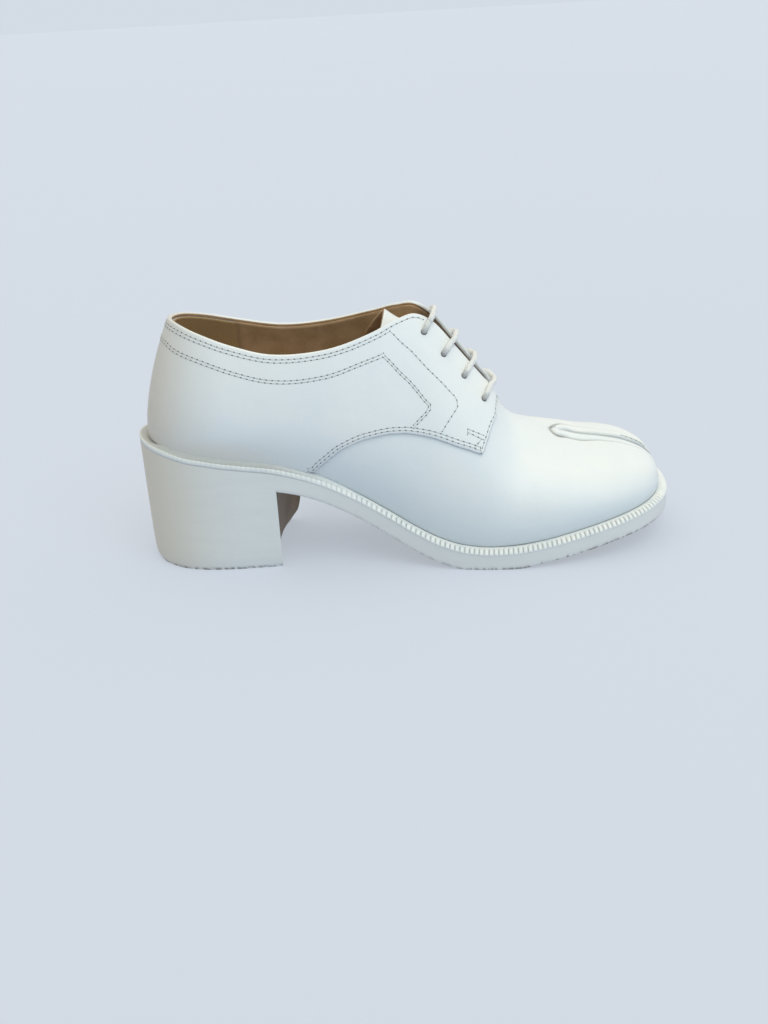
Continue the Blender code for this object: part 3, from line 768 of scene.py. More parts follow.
# The rolled lip along the split: its width, its height on either side, and half the gap
LIP = Table(
    "x width lateral medial gap",
    (205.0, 5.2, 0.9, 0.9, 0.5),
    (211.0, 6.8, 1.35, 1.15, 1.2),
    (219.0, 7.2, 1.5, 0.4, 1.2),
    (230.0, 5.4, 1.1, 0.3, 0.7),
    (244.0, 4.8, 0.7, 0.2, 0.8),
    (257.0, 4.0, 0.3, 0.1, 2.0),
)


def slit_distance(point):
    """Distance on plan from the toe's split, whose start leans to the outer side."""
    lean = SLIT_LEAN * fade_out(point[..., 0], *SLIT_LEAN_FADE)
    across = point[..., 1] - MIDDLE.at("y", point[..., 0]) + lean
    behind = np.minimum(point[..., 0] - SLIT_X, 0.0)
    return np.hypot(across, behind)


def groove_shade(x):
    """Painted shade along the bottom of the split."""
    return GROOVE_SHADE * fade_in(x, *GROOVE_FADE)


def lip_relief(side, point):
    """How far the rolled lip stands proud, and the painted shade of its crease and of the split's groove."""
    share = slit_distance(point) / LIP.at("width", point[..., 0])
    high = LIP.at(SIDE_NAMES[side], point[..., 0])
    crown = np.sqrt(1 - (1 - np.clip(share / LIP_CROWN, 0, 1)) ** 2)
    start = fade_out(point[..., 0], *LIP_START_FADE)
    crease = bell(share - 1.0, 0.09 + 0.08 * start)
    dark = crease * high * (0.4 + 0.4 * start)
    groove = groove_shade(point[..., 0]) * bell(slit_distance(point), GROOVE_WIDTH)
    relief = high * (crown * smooth_step((1.0 - share) / LIP_FALL) - LIP_CREASE_DEPTH * crease)
    return relief, np.clip(np.maximum(dark, groove), 0, 1)


def vamp_last(side, along, rise):
    """The last with the bend in front of the throat eased, as the vamp lies over it."""
    ease = VAMP_EASE * fade_in(along, *VAMP_EASE_IN) * fade_out(along, *VAMP_EASE_OUT)
    step = np.linspace(-2, 2, 9)
    share = np.exp(-(step**2) / 2)
    plain = whole_last(side, along, rise)
    eased = sum(part * whole_last(side, along + ease * s, rise) for part, s in zip(share / share.sum(), step))
    keep = fade_in(rise, *VAMP_KEEP)
    eased[..., 1] += (plain[..., 1] - eased[..., 1]) * keep
    return eased


def upper_face(side, along, rise):
    """Outer face of the upper, with the split's lips, and the painted shade of the crease beside them."""
    point = vamp_last(side, along, rise)
    normal = last_normal(side, along, rise, vamp_last)
    relief, crease = lip_relief(side, point)
    x = point[..., 0]
    away = np.clip((point[..., 1] - MIDDLE.at("y", x)) * side, 0, LIP_RADIUS)
    strength = cleft_strength(x)
    roll = LIP_RADIUS - np.sqrt(LIP_RADIUS**2 - (LIP_RADIUS - away) ** 2)
    point = point + normal * (relief - strength * roll)[..., None]
    point[..., 1] += side * strength * LIP.at("gap", x) * (1 - away / LIP_RADIUS)
    lowest = seat(x) + np.minimum(HEEL_SHIFT.at("z", x), 0) + FOOT_GAP
    point[..., 2] = np.maximum(point[..., 2], lowest)
    return point, crease


def over_last(side, along, rise, height):
    """Points that stand this far out from the upper's smooth face."""
    return whole_last(side, along, rise) + last_normal(side, along, rise) * np.asarray(height)[..., None]


def cleft_root(share):
    """The bottom line of the toe's split, from its start on the vamp down to the sole."""
    start = whole_last(LATERAL, CLEFT_ALONG, 1.0)
    x = start[0] + (ROOT_BOTTOM_X - start[0]) * share
    bottom = seat(ROOT_BOTTOM_X) + FOOT_GAP
    z = bottom + (start[2] - bottom) * (1 - share**1.4)
    return np.stack([x, MIDDLE.at("y", x), z], axis=-1)


def cleft_wall(side):
    """One wall of the toe's split, from the lip to the bottom line."""
    along = UPPER_ALONG[UPPER_ALONG >= CLEFT_ALONG]
    lip, _ = upper_face(side, along, 1.0)
    run = run_length(whole_last(LATERAL, along, 1.0))
    root = cleft_root(run / run[-1])
    depth = CLEFT_DEPTH[None, :, None]
    return lip[:, None] * (1 - depth) + root[:, None] * depth


# Rows of the upper's foot, and the painted shade of its crease against the welt, from the heel to the toe
FEATHER = Table("inset drop crease", (1.0, 1.5, 0.6), (0.35, 0.6, 0.5), (0.0, 0.0, 0.0))
CREASE_FADE = Table("x strength", (0.0, 0.3), (70.0, 0.4), (140.0, 1.0), (263.0, 1.0))


def feather(side, along):
    """The upper's foot, turned in under itself against the welt."""
    foot, _ = upper_face(side, along, np.zeros_like(along))
    _, normal = PLAN.at(side, along)
    out = np.concatenate([normal, np.zeros((len(along), 1))], axis=1)
    rows = [foot - out * inset - UP * drop for inset, drop, _ in FEATHER.values]
    return np.stack(rows, axis=1)


# Painted shade, by x and by rise: warm round the back of the heel, warm with grime along the foot of the
# counter, and blue-grey towards the welt
BACK_SHADE_FADE = (2.0, 52.0)
FOOT_SHADE_AND_DIRT = 0.7
FOOT_SHADE_AND_DIRT_FADE = (30.0, 70.0)
FOOT_SHADE_AND_DIRT_RISE = (0.08, 0.25)
FOOT_SHADE = 0.75
FOOT_SHADE_RISE = (0.0, 0.55)


def heel_warmth(x, rise=1.0):
    """A warm painted shade towards the back of the heel, and along the foot of the counter a warm painted
    shade with grime.
    """
    back = fade_out(x, *BACK_SHADE_FADE)
    low = FOOT_SHADE_AND_DIRT * fade_out(x, *FOOT_SHADE_AND_DIRT_FADE) * fade_out(rise, *FOOT_SHADE_AND_DIRT_RISE)
    return np.maximum(back, low)


def foot_shade(rise):
    """Painted shade, a blue-grey stronger towards the welt."""
    return FOOT_SHADE * fade_out(rise, *FOOT_SHADE_RISE)


def make_upper(leather):
    skin = Skin("crease", "warmth", "shade")
    for side in (LATERAL, MEDIAL):
        flip = side == MEDIAL
        along = UPPER_ALONG[:, None]
        top = UNDER_RIM + (1 - UNDER_RIM) * fade_in(along, *UNDER_RIM_END)
        rise = UPPER_RISE[None, :] * top
        face, crease = upper_face(side, along + 0 * rise, rise)
        warmth, shade = heel_warmth(face[..., 0], rise), foot_shade(rise)
        skin.add_grid(face, flip, crease=crease, warmth=warmth, shade=shade)
        foot = feather(side, UPPER_ALONG)
        # Painted shade in the crease where the upper's foot meets the welt
        dark = FEATHER.values[:, 2] * CREASE_FADE.at("strength", foot[..., 0])
        skin.add_grid(foot, flip, crease=dark, shade=foot_shade(0.0), warmth=heel_warmth(foot[..., 0], 0.0))
        cleft = cleft_wall(side)
        # Painted shade on the split's walls: grey at the lip, darker deep down and darkest towards the tip
        lip = groove_shade(cleft[:, :1, 0])
        deep = CLEFT_SHADE + TIP_SHADE * fade_in(cleft[:, :1, 0], *TIP_SHADE_FADE)
        skin.add_grid(cleft, flip, crease=lip + (deep - lip) * np.minimum(CLEFT_DEPTH * 8, 1))
    upper = skin.make("upper", [leather])
    wall(upper, LEATHER)
    settle(upper, "white_leather", "upper")


# The lining and the insole

LINING_ALONG = np.linspace(0.0, 0.70, 150)
LINING_RISE = np.linspace(0.0, 1.0, 50)
LINING_TOP = 0.9
LINING_GAP = 0.05
LINING_THICKNESS = 0.6
OPENING_END = 0.62
HEEL_GRIP_X = 51.0
HEEL_GRIP_STEP = 1.6
HEEL_GRIP_THICKNESS = 0.5
GRIP_SEAM_X = HEEL_GRIP_X + 0.2
GRIP_SEAM_WIDTH = 1.1
GRIP_SEAM_SHADE = 0.3
SOCK_GAP = 0.8
SOCK_CUP = 0.8
HEEL_PAD_X = 74.0
HEEL_PAD_SHADE = 0.6


def make_lining(leather):
    skin = Skin("crease", "heel_part")
    for side in (LATERAL, MEDIAL):
        along = LINING_ALONG[:, None]
        length = np.linalg.norm(whole_last(side, along, 1.0) - whole_last(side, along, 0.6), axis=-1) / 0.4
        rise = LINING_RISE[None, :] * np.where(along < OPENING_END, 1 - LINING_TOP / length, 1.0)
        base = whole_last(side, along + 0 * rise, rise)
        grip = smooth_step((HEEL_GRIP_X - base[..., 0]) / HEEL_GRIP_STEP)
        depth = -(LEATHER + LINING_GAP) - HEEL_GRIP_THICKNESS * grip
        seam = bell(base[..., 0] - GRIP_SEAM_X, GRIP_SEAM_WIDTH)
        face = over_last(side, along + 0 * rise, rise, depth)
        face[..., 2] = np.maximum(face[..., 2], seat(face[..., 0]) + FOOT_GAP)
        # The dark line of the heel grip's seam, and painted shade in the throat
        crease = np.maximum(GRIP_SEAM_SHADE * seam, throat_shade(along))
        skin.add_grid(face, side == MEDIAL, heel_part=grip, crease=crease)
    lining = skin.make("lining", [leather])
    wall(lining, LINING_THICKNESS)
    settle(lining, "tan_lining")


def make_insole(leather):
    """The sock over the insole, cupped a little towards its edge."""
    skin = Skin("crease", "heel_part")
    inset = WELT_WIDTH + WALL + SOCK_GAP
    share = np.linspace(0, 1, 160)
    left, _ = PLAN.at(LATERAL, share, inset)
    right, _ = PLAN.at(MEDIAL, share, inset)
    across = np.linspace(0, 1, 33)[None, :, None]
    plan = left[:, None] * (1 - across) + right[:, None] * across
    edge = np.abs(2 * across[..., 0] - 1) ** 6
    floor = seat(plan[..., 0]) + 0.3
    for lift, flip in ((INSOLE_THICKNESS + SOCK_CUP * edge, False), (0.0 * edge, True)):
        face = np.concatenate([plan, (floor + lift)[..., None]], axis=-1)
        pad = smooth_step(HEEL_PAD_X - face[..., 0])
        skin.add_grid(face, flip, heel_part=HEEL_PAD_SHADE * pad)
    for row, flip in ((0, True), (-1, False)):
        low = np.concatenate([plan[:, row], floor[:, row, None]], axis=-1)
        high = low + UP * (INSOLE_THICKNESS + SOCK_CUP)
        skin.add_grid(np.stack([low, high], axis=1), flip)
    insole = skin.make("insole", [leather])
    settle(insole, "tan_lining", "insole")


# The quarters

QUARTER_ALONG = np.concatenate(
    [
        np.linspace(0.0, 0.30, 60),
        np.linspace(0.303, 0.583, 88),
        np.linspace(0.585, 0.6185, 72),
    ]
)
QUARTER_SHARE = np.concatenate(
    [
        [0.0, 0.001, 0.003, 0.006, 0.010, 0.016, 0.025],
        np.linspace(0.04, 0.94, 44),
        [0.955, 0.97, 0.985, 1.0],
    ]
)
RIM_RISE = 0.990
RIM_TURN = np.radians(np.linspace(0, 180, 13))
RIM_SPLIT = 10
BACK_SEAM_DEPTH = 0.35
BACK_SEAM_WIDTH = 0.6
THROAT_SHADE = 0.6
THROAT_FADE = (0.485, 0.02)


def quarter_edge():
    """The quarter's free edge on the last as along and rise, from the heel back round to the throat."""
    along = np.linspace(0.0, QUARTER_ALONG[-1], 500)
    rise = QUARTER_EDGE.at("rise", along)
    end = np.linspace(rise[-1], 1.0, 20)
    return np.concatenate([along, np.full(20, along[-1])]), np.concatenate([rise, end])


def distance_to(points, line):
    """Distance of each point of a grid from the nearest point of a line."""
    parts = np.array_split(points.reshape(-1, 3), 20)
    best = [np.linalg.norm(part[:, None] - line[None], axis=2).min(axis=1) for part in parts]
    return np.concatenate(best).reshape(points.shape[:-1])


def rim_frame(side, along):
    """The collar and throat line: its points, outward normals, and directions up the last."""
    point = whole_last(side, along, RIM_RISE)
    normal = last_normal(side, along, RIM_RISE)
    rising = point - whole_last(side, along, RIM_RISE - 0.02)
    rising = rising - normal * np.sum(rising * normal, axis=-1, keepdims=True)
    return point, normal, unit(rising)


def throat_shade(along):
    """Painted shade in the narrow throat between the facings."""
    return THROAT_SHADE * fade_in(along, *THROAT_FADE)


def add_rim(skin, side, outer_height):
    """The folded edge over collar and throat: leather on its outer half, lining on its inner half."""
    point, normal, rising = rim_frame(side, QUARTER_ALONG)
    full = np.clip((outer_height + QUARTER_SINK) / (QUARTER_FACE + QUARTER_SINK), 0, 1)
    inner_height = -QUARTER_SINK - (RIM_INSIDE - QUARTER_SINK) * full
    middle, reach = (outer_height + inner_height) / 2, (outer_height - inner_height) / 2
    rows = []
    for turn in RIM_TURN:
        across = middle + reach * math.cos(turn)
        rows.append(point + normal * across[:, None] + rising * (RIM_ROUND * full * math.sin(turn))[:, None])
    rows.append(point + normal * inner_height[:, None] - rising * (0.4 * full)[:, None])
    rows.append(point - normal * QUARTER_SINK)
    face = np.stack(rows, axis=1)
    outer, inner = face[:, :RIM_SPLIT], face[:, RIM_SPLIT - 1:]
    # Painted shade in the throat, deeper towards the rim's inner half
    throat = throat_shade(QUARTER_ALONG)[:, None]
    inwards = 0.3 + 0.7 * fade_in(np.arange(RIM_SPLIT), 4, 4)
    skin.add_grid(outer, side == MEDIAL, 0, warmth=heel_warmth(outer[..., 0]), crease=throat * inwards)
    skin.add_grid(inner, side == MEDIAL, 1, crease=throat)


def make_quarters(leather, lining):
    skin = Skin("crease", "warmth", "shade")
    edge_along, edge_rise = quarter_edge()
    for side in (LATERAL, MEDIAL):
        flip = side == MEDIAL
        along = QUARTER_ALONG[:, None]
        low = QUARTER_EDGE.at("rise", along)
        rise = low + (RIM_RISE - low) * QUARTER_SHARE[None, :]
        along = along + 0 * rise
        base = whole_last(side, along, rise)
        inside = distance_to(base, whole_last(side, edge_along, edge_rise))
        swell = np.sqrt(1 - (1 - np.clip(inside / EDGE_ROUND, 0, 1)) ** 2)
        seam = bell(base[..., 1], BACK_SEAM_WIDTH) * (along < 0.1)
        height = -QUARTER_SINK + (QUARTER_FACE + QUARTER_SINK) * swell - BACK_SEAM_DEPTH * seam
        face = over_last(side, along, rise, height)
        warmth, shade = heel_warmth(face[..., 0], rise), foot_shade(rise)
        skin.add_grid(face, flip, warmth=warmth, shade=shade, crease=0.5 * seam)
        skin.add_grid(over_last(side, along, rise, -QUARTER_SINK + 0 * rise), not flip)
        add_rim(skin, side, height[:, -1])
    quarters = skin.make("quarters", [leather, lining])
    settle(quarters, "white_leather", "quarter_lateral", "quarter_medial")


# The lace holes and the laces


def circles(first, second, count):
    """Points on the unit circle that each pair of directions spans."""
    turn = np.linspace(0, 2 * np.pi, count, endpoint=False)[:, None]
    return np.cos(turn) * first[..., None, :] + np.sin(turn) * second[..., None, :]


def ring_around(centre, axis, radius, count):
    """Points on a circle round each axis."""
    axis = unit(axis)
    first = unit(np.cross(axis, [1.0, 0.0, 0.0]))
    return centre[..., None, :] + radius * circles(first, np.cross(axis, first), count)


def close_rings(rings):
    """The rings with their first point once more at their end."""
    return np.concatenate([rings, rings[:, :1]], axis=1)


HOLE_DROP = 0.003
LACE_HOLE_LIFT = 0.04
LACE_HOLE_SIDES = 24


def add_lace_holes(skin, side, finish):
    """Painted shade of each lace hole: a flat dark disc a little below its lace."""
    for along, rise in LACE_HOLES[side]:
        centre = over_last(side, along, rise - HOLE_DROP, QUARTER_FACE + LACE_HOLE_LIFT)
        ring = ring_around(centre, last_normal(side, along, rise), LACE_HOLE_DIAMETER / 2, LACE_HOLE_SIDES)
        skin.add_disc(ring, finish)


LACE_HEIGHT = QUARTER_FACE + LACE_DIAMETER / 2 + 0.1
LACE_TURN = 2.2
LACE_SIDES = 20
LACE_CROWN = np.array([0.4, 0.0, 0.9])
# Painted shade where a lace goes into its hole: full this far from each end, then fading over this length
LACE_END_FADE = (1.8, 2.6)


def lace_end(side, along, rise, lean):
    """The lace's way out of its hole and over the facing, leaning as it goes, to the facing's edge."""
    span = np.linalg.norm(whole_last(side, along, 1.0) - whole_last(side, along, rise))
    per_mm = (1 - rise) / span
    steps = [(0.0, -0.8), (0.0, 0.1)]
    for turn in np.radians([90, 72, 54, 36, 18, 0]):
        steps.append((LACE_TURN * (1 - math.sin(turn)), LACE_HEIGHT - LACE_TURN * (1 - math.cos(turn))))
    steps += [(0.6 * span, LACE_HEIGHT), (span, LACE_HEIGHT + 0.2)]
    points = [over_last(side, along + lean * s / span, rise + s * per_mm, height) for s, height in steps]
    return np.array(points)


def smooth_path(knots, per_span):
    """A curve through the knots that keeps its heading at each of them."""
    ahead = np.concatenate([knots[1:], 2 * knots[-1:] - knots[-2:-1]])
    behind = np.concatenate([2 * knots[:1] - knots[1:2], knots[:-1]])
    heading = (ahead - behind) / 2
    t = np.linspace(0, 1, per_span, endpoint=False)[None, :, None]
    start, end = knots[:-1, None], knots[1:, None]
    curve = start * (1 + 2 * t) * (1 - t) ** 2 + end * t**2 * (3 - 2 * t)
    curve = curve + heading[:-1, None] * t * (1 - t) ** 2 - heading[1:, None] * t**2 * (1 - t)
    return np.concatenate([curve.reshape(-1, knots.shape[1]), knots[-1:]])


def wrap_cord(piece, rows, columns, length):
    """Texture coordinates in millimetres round and along a tube made as one grid."""
    layer = piece.data.uv_layers.new(name="cord")
    around = math.pi * LACE_DIAMETER
    for face in piece.data.polygons:
        row, column = divmod(face.index, columns - 1)
        corners = ((row, column), (row + 1, column), (row + 1, column + 1), (row, column + 1))
        for loop, (i, j) in zip(face.loop_indices, corners):
            layer.data[loop].uv = (around * j / (columns - 1), length * i / (rows - 1))


def make_laces(cotton):
    bars = zip(LACE_HOLES[LATERAL], LACE_HOLES[MEDIAL], LACE_LEANS)
    for number, (lateral, medial, lean) in enumerate(bars, 1):
        near, far = lace_end(LATERAL, *lateral, lean), lace_end(MEDIAL, *medial, lean + MEDIAL_LEAN)
        crown = (near[-1] + far[-1]) / 2 + LACE_CROWN
        path = smooth_path(np.concatenate([near, [crown], far[::-1]]), 6)
        grid = close_rings(ring_around(path, np.gradient(path, axis=0), LACE_DIAMETER / 2, LACE_SIDES))
        run = run_length(path)
        end = fade_out(np.minimum(run, run[-1] - run), *LACE_END_FADE)
        skin = Skin("end")
        skin.add_grid(grid, True, end=end[:, None])
        lace = skin.make(f"lace_{number}", [cotton])
        wrap_cord(lace, *grid.shape[:2], run[-1])
        settle(lace, "lace_cotton", f"lace_bar_{number}")


# The tongue

TONGUE_SWEEP = 4.0
TONGUE_WING = 7.0
TONGUE_WING_DROP = 5.0
TONGUE_TIP_X = 150.0
TONGUE_TIP_LENGTH = 28.0


def make_tongue(leather, lining):
    """The tongue, with a rounded tip whose medial corner turns back and down."""
    skin = Skin("crease", "warmth", "heel_part")
    rows = np.linspace(TONGUE.key[0], TONGUE.key[-1], 70)[:, None]
    across = np.linspace(-1, 1, 41)[None, :]
    tip = smooth_step((TONGUE_TIP_X - rows) / TONGUE_TIP_LENGTH)
    medial = np.maximum(across, 0) ** 2
    wing = tip * medial * (2.25 - 1.27 * medial)
    x = rows + TONGUE_SWEEP * tip * (1 - across**2) - TONGUE_WING * wing
    y = TONGUE.at("half_width", rows) * across + MIDDLE.at("y", rows)
    z = TONGUE.at("z", rows) - TONGUE.at("hang", rows) * across**2 - TONGUE_WING_DROP * wing
    skin.add_grid(np.stack([x, y, z], axis=-1))
    tongue = skin.make("tongue", [leather, lining])
    wall(tongue, TONGUE_THICKNESS, 1)
    settle(tongue, "white_leather", "tongue")


# The stitching

# Rows of stitches on each quarter as along and rise: the double row round the collar band and facing
# panel, the single row along the facing, and the short tack at the front corner
BAND_ROW = (
    (0.000, 0.822), (0.048, 0.820), (0.089, 0.802), (0.145, 0.805), (0.204, 0.802), (0.270, 0.807),
    (0.327, 0.830), (0.381, 0.852), (0.429, 0.846),
)
PANEL_ROW = (
    (0.430, 0.823), (0.466, 0.683), (0.496, 0.599), (0.5055, 0.578), (0.503, 0.551),
    (0.4925, 0.512), (0.4805, 0.470),
)
FACING_ROW = (
    (0.440, 0.952), (0.4705, 0.820), (0.5024, 0.734), (0.532, 0.694), (0.544, 0.680), (0.5473, 0.6525),
    (0.5463, 0.635), (0.5362, 0.564), (0.5262, 0.498),
)
TACK_ROWS = (
    ((0.5646, 0.5763), (0.5770, 0.5836), (0.5900, 0.5912)),
    ((0.5646, 0.5763), (0.5647, 0.5612)),
    ((0.5647, 0.5612), (0.5877, 0.5687)),
    ((0.5877, 0.5687), (0.5770, 0.5120)),
)
BAND_SPACING = 1.4
PANEL_SPACING = 1.1

# Rows beside the collar and beside the quarter's free edge: how far in from it, and where they end
COLLAR_ROWS = ((2.0, 0.496), (3.5, 0.437))
EDGE_ROWS = ((1.5, 0.6195), (3.0, 0.584))
EDGE_ROWS_START = 0.323
TOP_RISE = 0.9989
HEADING_STEP = 0.3

# The short row beside the split on the big toe: where it starts and ends, how far in, and how high
TOE_ROW = (0.905, 0.95, 3.0)
TOE_ROW_HEIGHT = 0.28


def shift_on_last(side, along, rise, across):
    """Moves a line on the last sideways by millimetres, towards its upper side where across is positive."""
    step = 1e-3
    here = whole_last(side, along, rise)
    by_along = (whole_last(side, along + step, rise) - whole_last(side, along - step, rise)) / (2 * step)
    by_rise = (whole_last(side, along, rise + step) - whole_last(side, along, rise - step)) / (2 * step)
    heading = unit(np.gradient(here, axis=0))
    sideways = np.cross(heading, last_normal(side, along, rise)) * side
    jacobian = np.stack([by_along, by_rise], axis=-1)
    move = np.linalg.pinv(jacobian) @ (sideways * across)[..., None]
    return along + move[:, 0, 0], rise + move[:, 1, 0]


def dense_row(knots):
    """Closely spaced along and rise values on a smooth line through the knots."""
    return smooth_path(np.array(knots), 30).T


def stitch_frames(side, along, rise, height):
    """Centres, headings and normals of stitches at an even pitch along a line on the last."""
    line = over_last(side, along, rise, height + 0 * along)
    run = run_length(line)
    where = np.arange(STITCH_PITCH / 2, run[-1], STITCH_PITCH)
    along, rise = np.interp(where, run, along), np.interp(where, run, rise)
    centre = over_last(side, along, rise, height + 0 * along)
    ends = np.stack([where - HEADING_STEP, where + HEADING_STEP])
    before, after = np.stack([np.interp(ends, run, line[:, k]) for k in range(3)], axis=-1)
    return centre, unit(after - before), last_normal(side, along, rise)


# A stitch from hole to hole: share of its length, height of its middle line, share of its thickness
STITCH_RINGS = Table(
    "share lift radius",
    (-0.5, -0.30, 0.7),
    (-0.38, 0.0, 1.0),
    (0.0, 0.10, 1.0),
    (0.38, 0.0, 1.0),
    (0.5, -0.30, 0.7),
)
STITCH_SIDES = 6
HOLE_RADIUS = 0.3
HOLE_SIDES = 8
HOLE_LIFT = 0.03


def add_stitches(skin, centre, heading, normal):
    """A short thread for each stitch, and flat discs of painted shade for the needle holes at its ends."""
    beside = np.cross(normal, heading)
    around = close_rings(circles(beside, normal, STITCH_SIDES))
    rings = []
    for share, lift, radius in STITCH_RINGS.values:
        middle = centre + heading * share * STITCH_LENGTH + normal * lift
        rings.append(middle[:, None] + around * STITCH_RADIUS * radius)
    for stitch in np.stack(rings, axis=1):
        skin.add_grid(stitch, False, 0)
    mouth = circles(heading, beside, HOLE_SIDES) * HOLE_RADIUS
    for share in (-0.5, 0.5):
        middle = centre + heading * share * STITCH_LENGTH + normal * HOLE_LIFT
        for ring in middle[:, None] + mouth:
            skin.add_disc(ring, 1)


def beside_top(side, start, end, inset):
    """A line this far down from the top line."""
    along = np.linspace(start, end, 400)
    return shift_on_last(side, along, np.full_like(along, TOP_RISE), -inset)


def quarter_rows(side):
    """Every row of stitches on one quarter as along and rise."""
    rows = []
    for inset, end in COLLAR_ROWS:
        rows.append(beside_top(side, 0.0, end, inset))
    for inset, end in EDGE_ROWS:
        along = np.linspace(EDGE_ROWS_START, end, 500)
        rows.append(shift_on_last(side, along, QUARTER_EDGE.at("rise", along), inset))
    for knots, spacing in ((BAND_ROW, -BAND_SPACING), (PANEL_ROW, PANEL_SPACING)):
        along, rise = dense_row(knots)
        rows += [(along, rise), shift_on_last(side, along, rise, spacing)]
    rows += [dense_row(knots) for knots in (FACING_ROW, *TACK_ROWS)]
    return rows


def make_stitches(yarn, dark):
    for side in (LATERAL, MEDIAL):
        skin = Skin()
        for along, rise in quarter_rows(side):
            add_stitches(skin, *stitch_frames(side, along, rise, QUARTER_FACE))
        if side == MEDIAL:
            add_stitches(skin, *stitch_frames(side, *beside_top(side, *TOE_ROW), TOE_ROW_HEIGHT))
        add_lace_holes(skin, side, 1)
        stitches = skin.make(f"stitches_{SIDE_NAMES[side]}", [yarn, dark])
        settle(stitches, "white_leather")


# The welt, sole and heel

WELT_INNER = WELT_WIDTH + WELT_TUCK

# Section of the welt from its inner edge over the top to its lower edge: inset, lift, notch depth and painted
# shade in the crease under the forefoot, then inset, lift, shade in the crease and painted shade round the
# heel
WELT_PROFILE = Table(
    "step inset lift depth crease heel_inset heel_lift heel_crease dull",
    (0, WELT_INNER, -WELT_THICKNESS, 0.0, 0.0, WELT_INNER, -WELT_THICKNESS, 0.0, 0.8),
    (1, WELT_INNER, -0.1, 0.0, 0.0, WELT_INNER, -0.1, 0.0, 0.8),
    (2, 5.4, -0.10, 0.0, 0.9, 5.20, -0.10, 0.00, 0.9),
    (2.5, 4.9, -0.05, 0.0, 0.5, 4.00, 4.20, 0.00, 0.9),
    (3, 4.4, 0.00, 0.0, 0.0, 3.30, 3.40, 0.00, 0.9),
    (4, 3.4, 0.00, 0.0, 0.0, 2.60, 2.20, 0.00, 0.9),
    (5, 2.9, -0.02, 0.1, 0.0, 1.70, 0.80, 0.10, 0.9),
    (6, 2.4, -0.10, 0.8, 0.0, 1.10, 0.10, 0.35, 0.7),
    (7, 1.7, -0.28, 1.0, 0.0, 0.70, 0.25, 0.00, 0.2),
    (8, 1.0, -0.62, 1.0, 0.0, 0.40, 0.10, 0.00, 0.2),
    (9, 0.45, -1.10, 1.0, 0.0, 0.20, -0.50, 0.00, 0.2),
    (10, 0.12, -1.65, 0.9, 0.0, 0.20, -1.60, 0.00, 0.2),
    (11, 0.0, -2.1, 0.4, 0.0, 0.28, -1.75, 0.00, 0.6),
    (12, 0.12, -2.4, 0.0, 0.0, 0.30, -2.40, 0.00, 0.6),
    (13, 1.2, -2.4, 0.0, 0.0, 1.20, -2.40, 0.00, 0.6),
)
SAMPLES_PER_NOTCH = 10
NOTCH_WIDTH = 0.14
NOTCH_DOWN = 0.8
NOTCH_IN = 0.6
NOTCH_SHADE = 0.8
HEEL_WELT_FADE = (62.0, 50.0)
HEEL_CREASE_FADE = (8.0, 30.0)

# How far the welt may stand up against the upper round the heel: least at the back
LEDGE_LEAST = 0.1
LEDGE_RISE = 6.0
LEDGE_FADE = (2.0, 30.0)

# How deep the notches are, from the heel to the toe
NOTCH_FADE = Table(
    "x strength",
    (0.0, 0.1),
    (60.0, 0.2),
    (100.0, 0.55),
    (130.0, 1.0),
    (255.0, 1.0),
    (261.0, 0.15),
    (TOE_X, 0.0),
)


def outline_loop(count):
    """Plan points and outward normals all round: up the lateral half, then back down the medial half."""
    share = np.linspace(0, 2, count, endpoint=False)
    lateral = PLAN.at(LATERAL, share[share <= 1])
    medial = PLAN.at(MEDIAL, 2 - share[share > 1])
    return (np.concatenate(halves) for halves in zip(lateral, medial))


def bottom_seat(x):
    """The seat as the welt and the heel meet it, lower round the back and higher along the sides."""
    return seat(x) + HEEL_SHIFT.at("z", x)


def closed_grid(rows):
    """Loops side by side as a grid whose last row and column close on its first."""
    grid = np.stack(rows, axis=1)
    return close_rings(np.concatenate([grid, grid[:1]]))


def make_welt(leather):
    """The welt: notched along the sole, and drawn up against the upper round the heel."""
    length = 2 * run_length(PLAN.halves[LATERAL][1])[-1]
    count = int(round(length / NOTCH_PITCH)) * SAMPLES_PER_NOTCH
    phase = np.arange(count) / SAMPLES_PER_NOTCH % 1.0
    edge, normal = outline_loop(count)
    x = edge[:, 0]
    groove = bell(phase - 0.5, NOTCH_WIDTH) * NOTCH_FADE.at("strength", x)
    heel = fade_out(x, *HEEL_WELT_FADE)
    highest = LEDGE_LEAST + fade_in(x, *LEDGE_FADE) * LEDGE_RISE
    rows = []
    paints = {"notch": [], "crease": [], "dull": []}
    for _, inset, lift, depth, crease, heel_inset, heel_lift, heel_crease, dull in WELT_PROFILE.values:
        notch = groove * depth
        plan = edge - normal * (inset + (heel_inset - inset) * heel)[:, None]
        rise = lift + (np.minimum(heel_lift, highest) - lift) * heel - NOTCH_DOWN * NOTCH_DEPTH * notch
        sunk = plan - normal * (NOTCH_IN * NOTCH_DEPTH * notch)[:, None]
        rows.append(np.column_stack([sunk, bottom_seat(plan[:, 0]) + rise]))
        # Painted shade in the notches, in the crease and round the heel
        paints["notch"].append(NOTCH_SHADE * notch)
        paints["crease"].append(crease * (1 - heel) + heel_crease * heel * fade_in(x, *HEEL_CREASE_FADE))
        paints["dull"].append(dull * heel)
    skin = Skin(*paints)
    skin.add_grid(closed_grid(rows), True, **{name: closed_grid(paint) for name, paint in paints.items()})
    welt = skin.make("welt", [leather], 180.0)
    settle(welt, "welt_leather", "welt")


def breast(left, right, count):
    """The hollow line across the heel's front, from the right corner to the left."""
    share = np.linspace(0, 1, count)[:, None]
    line = right * (1 - share) + left * share
    line[:, 0] -= BREAST_HOLLOW * (1 - (2 * share[:, 0] - 1) ** 2)
    return line


ARC_STEPS = 25


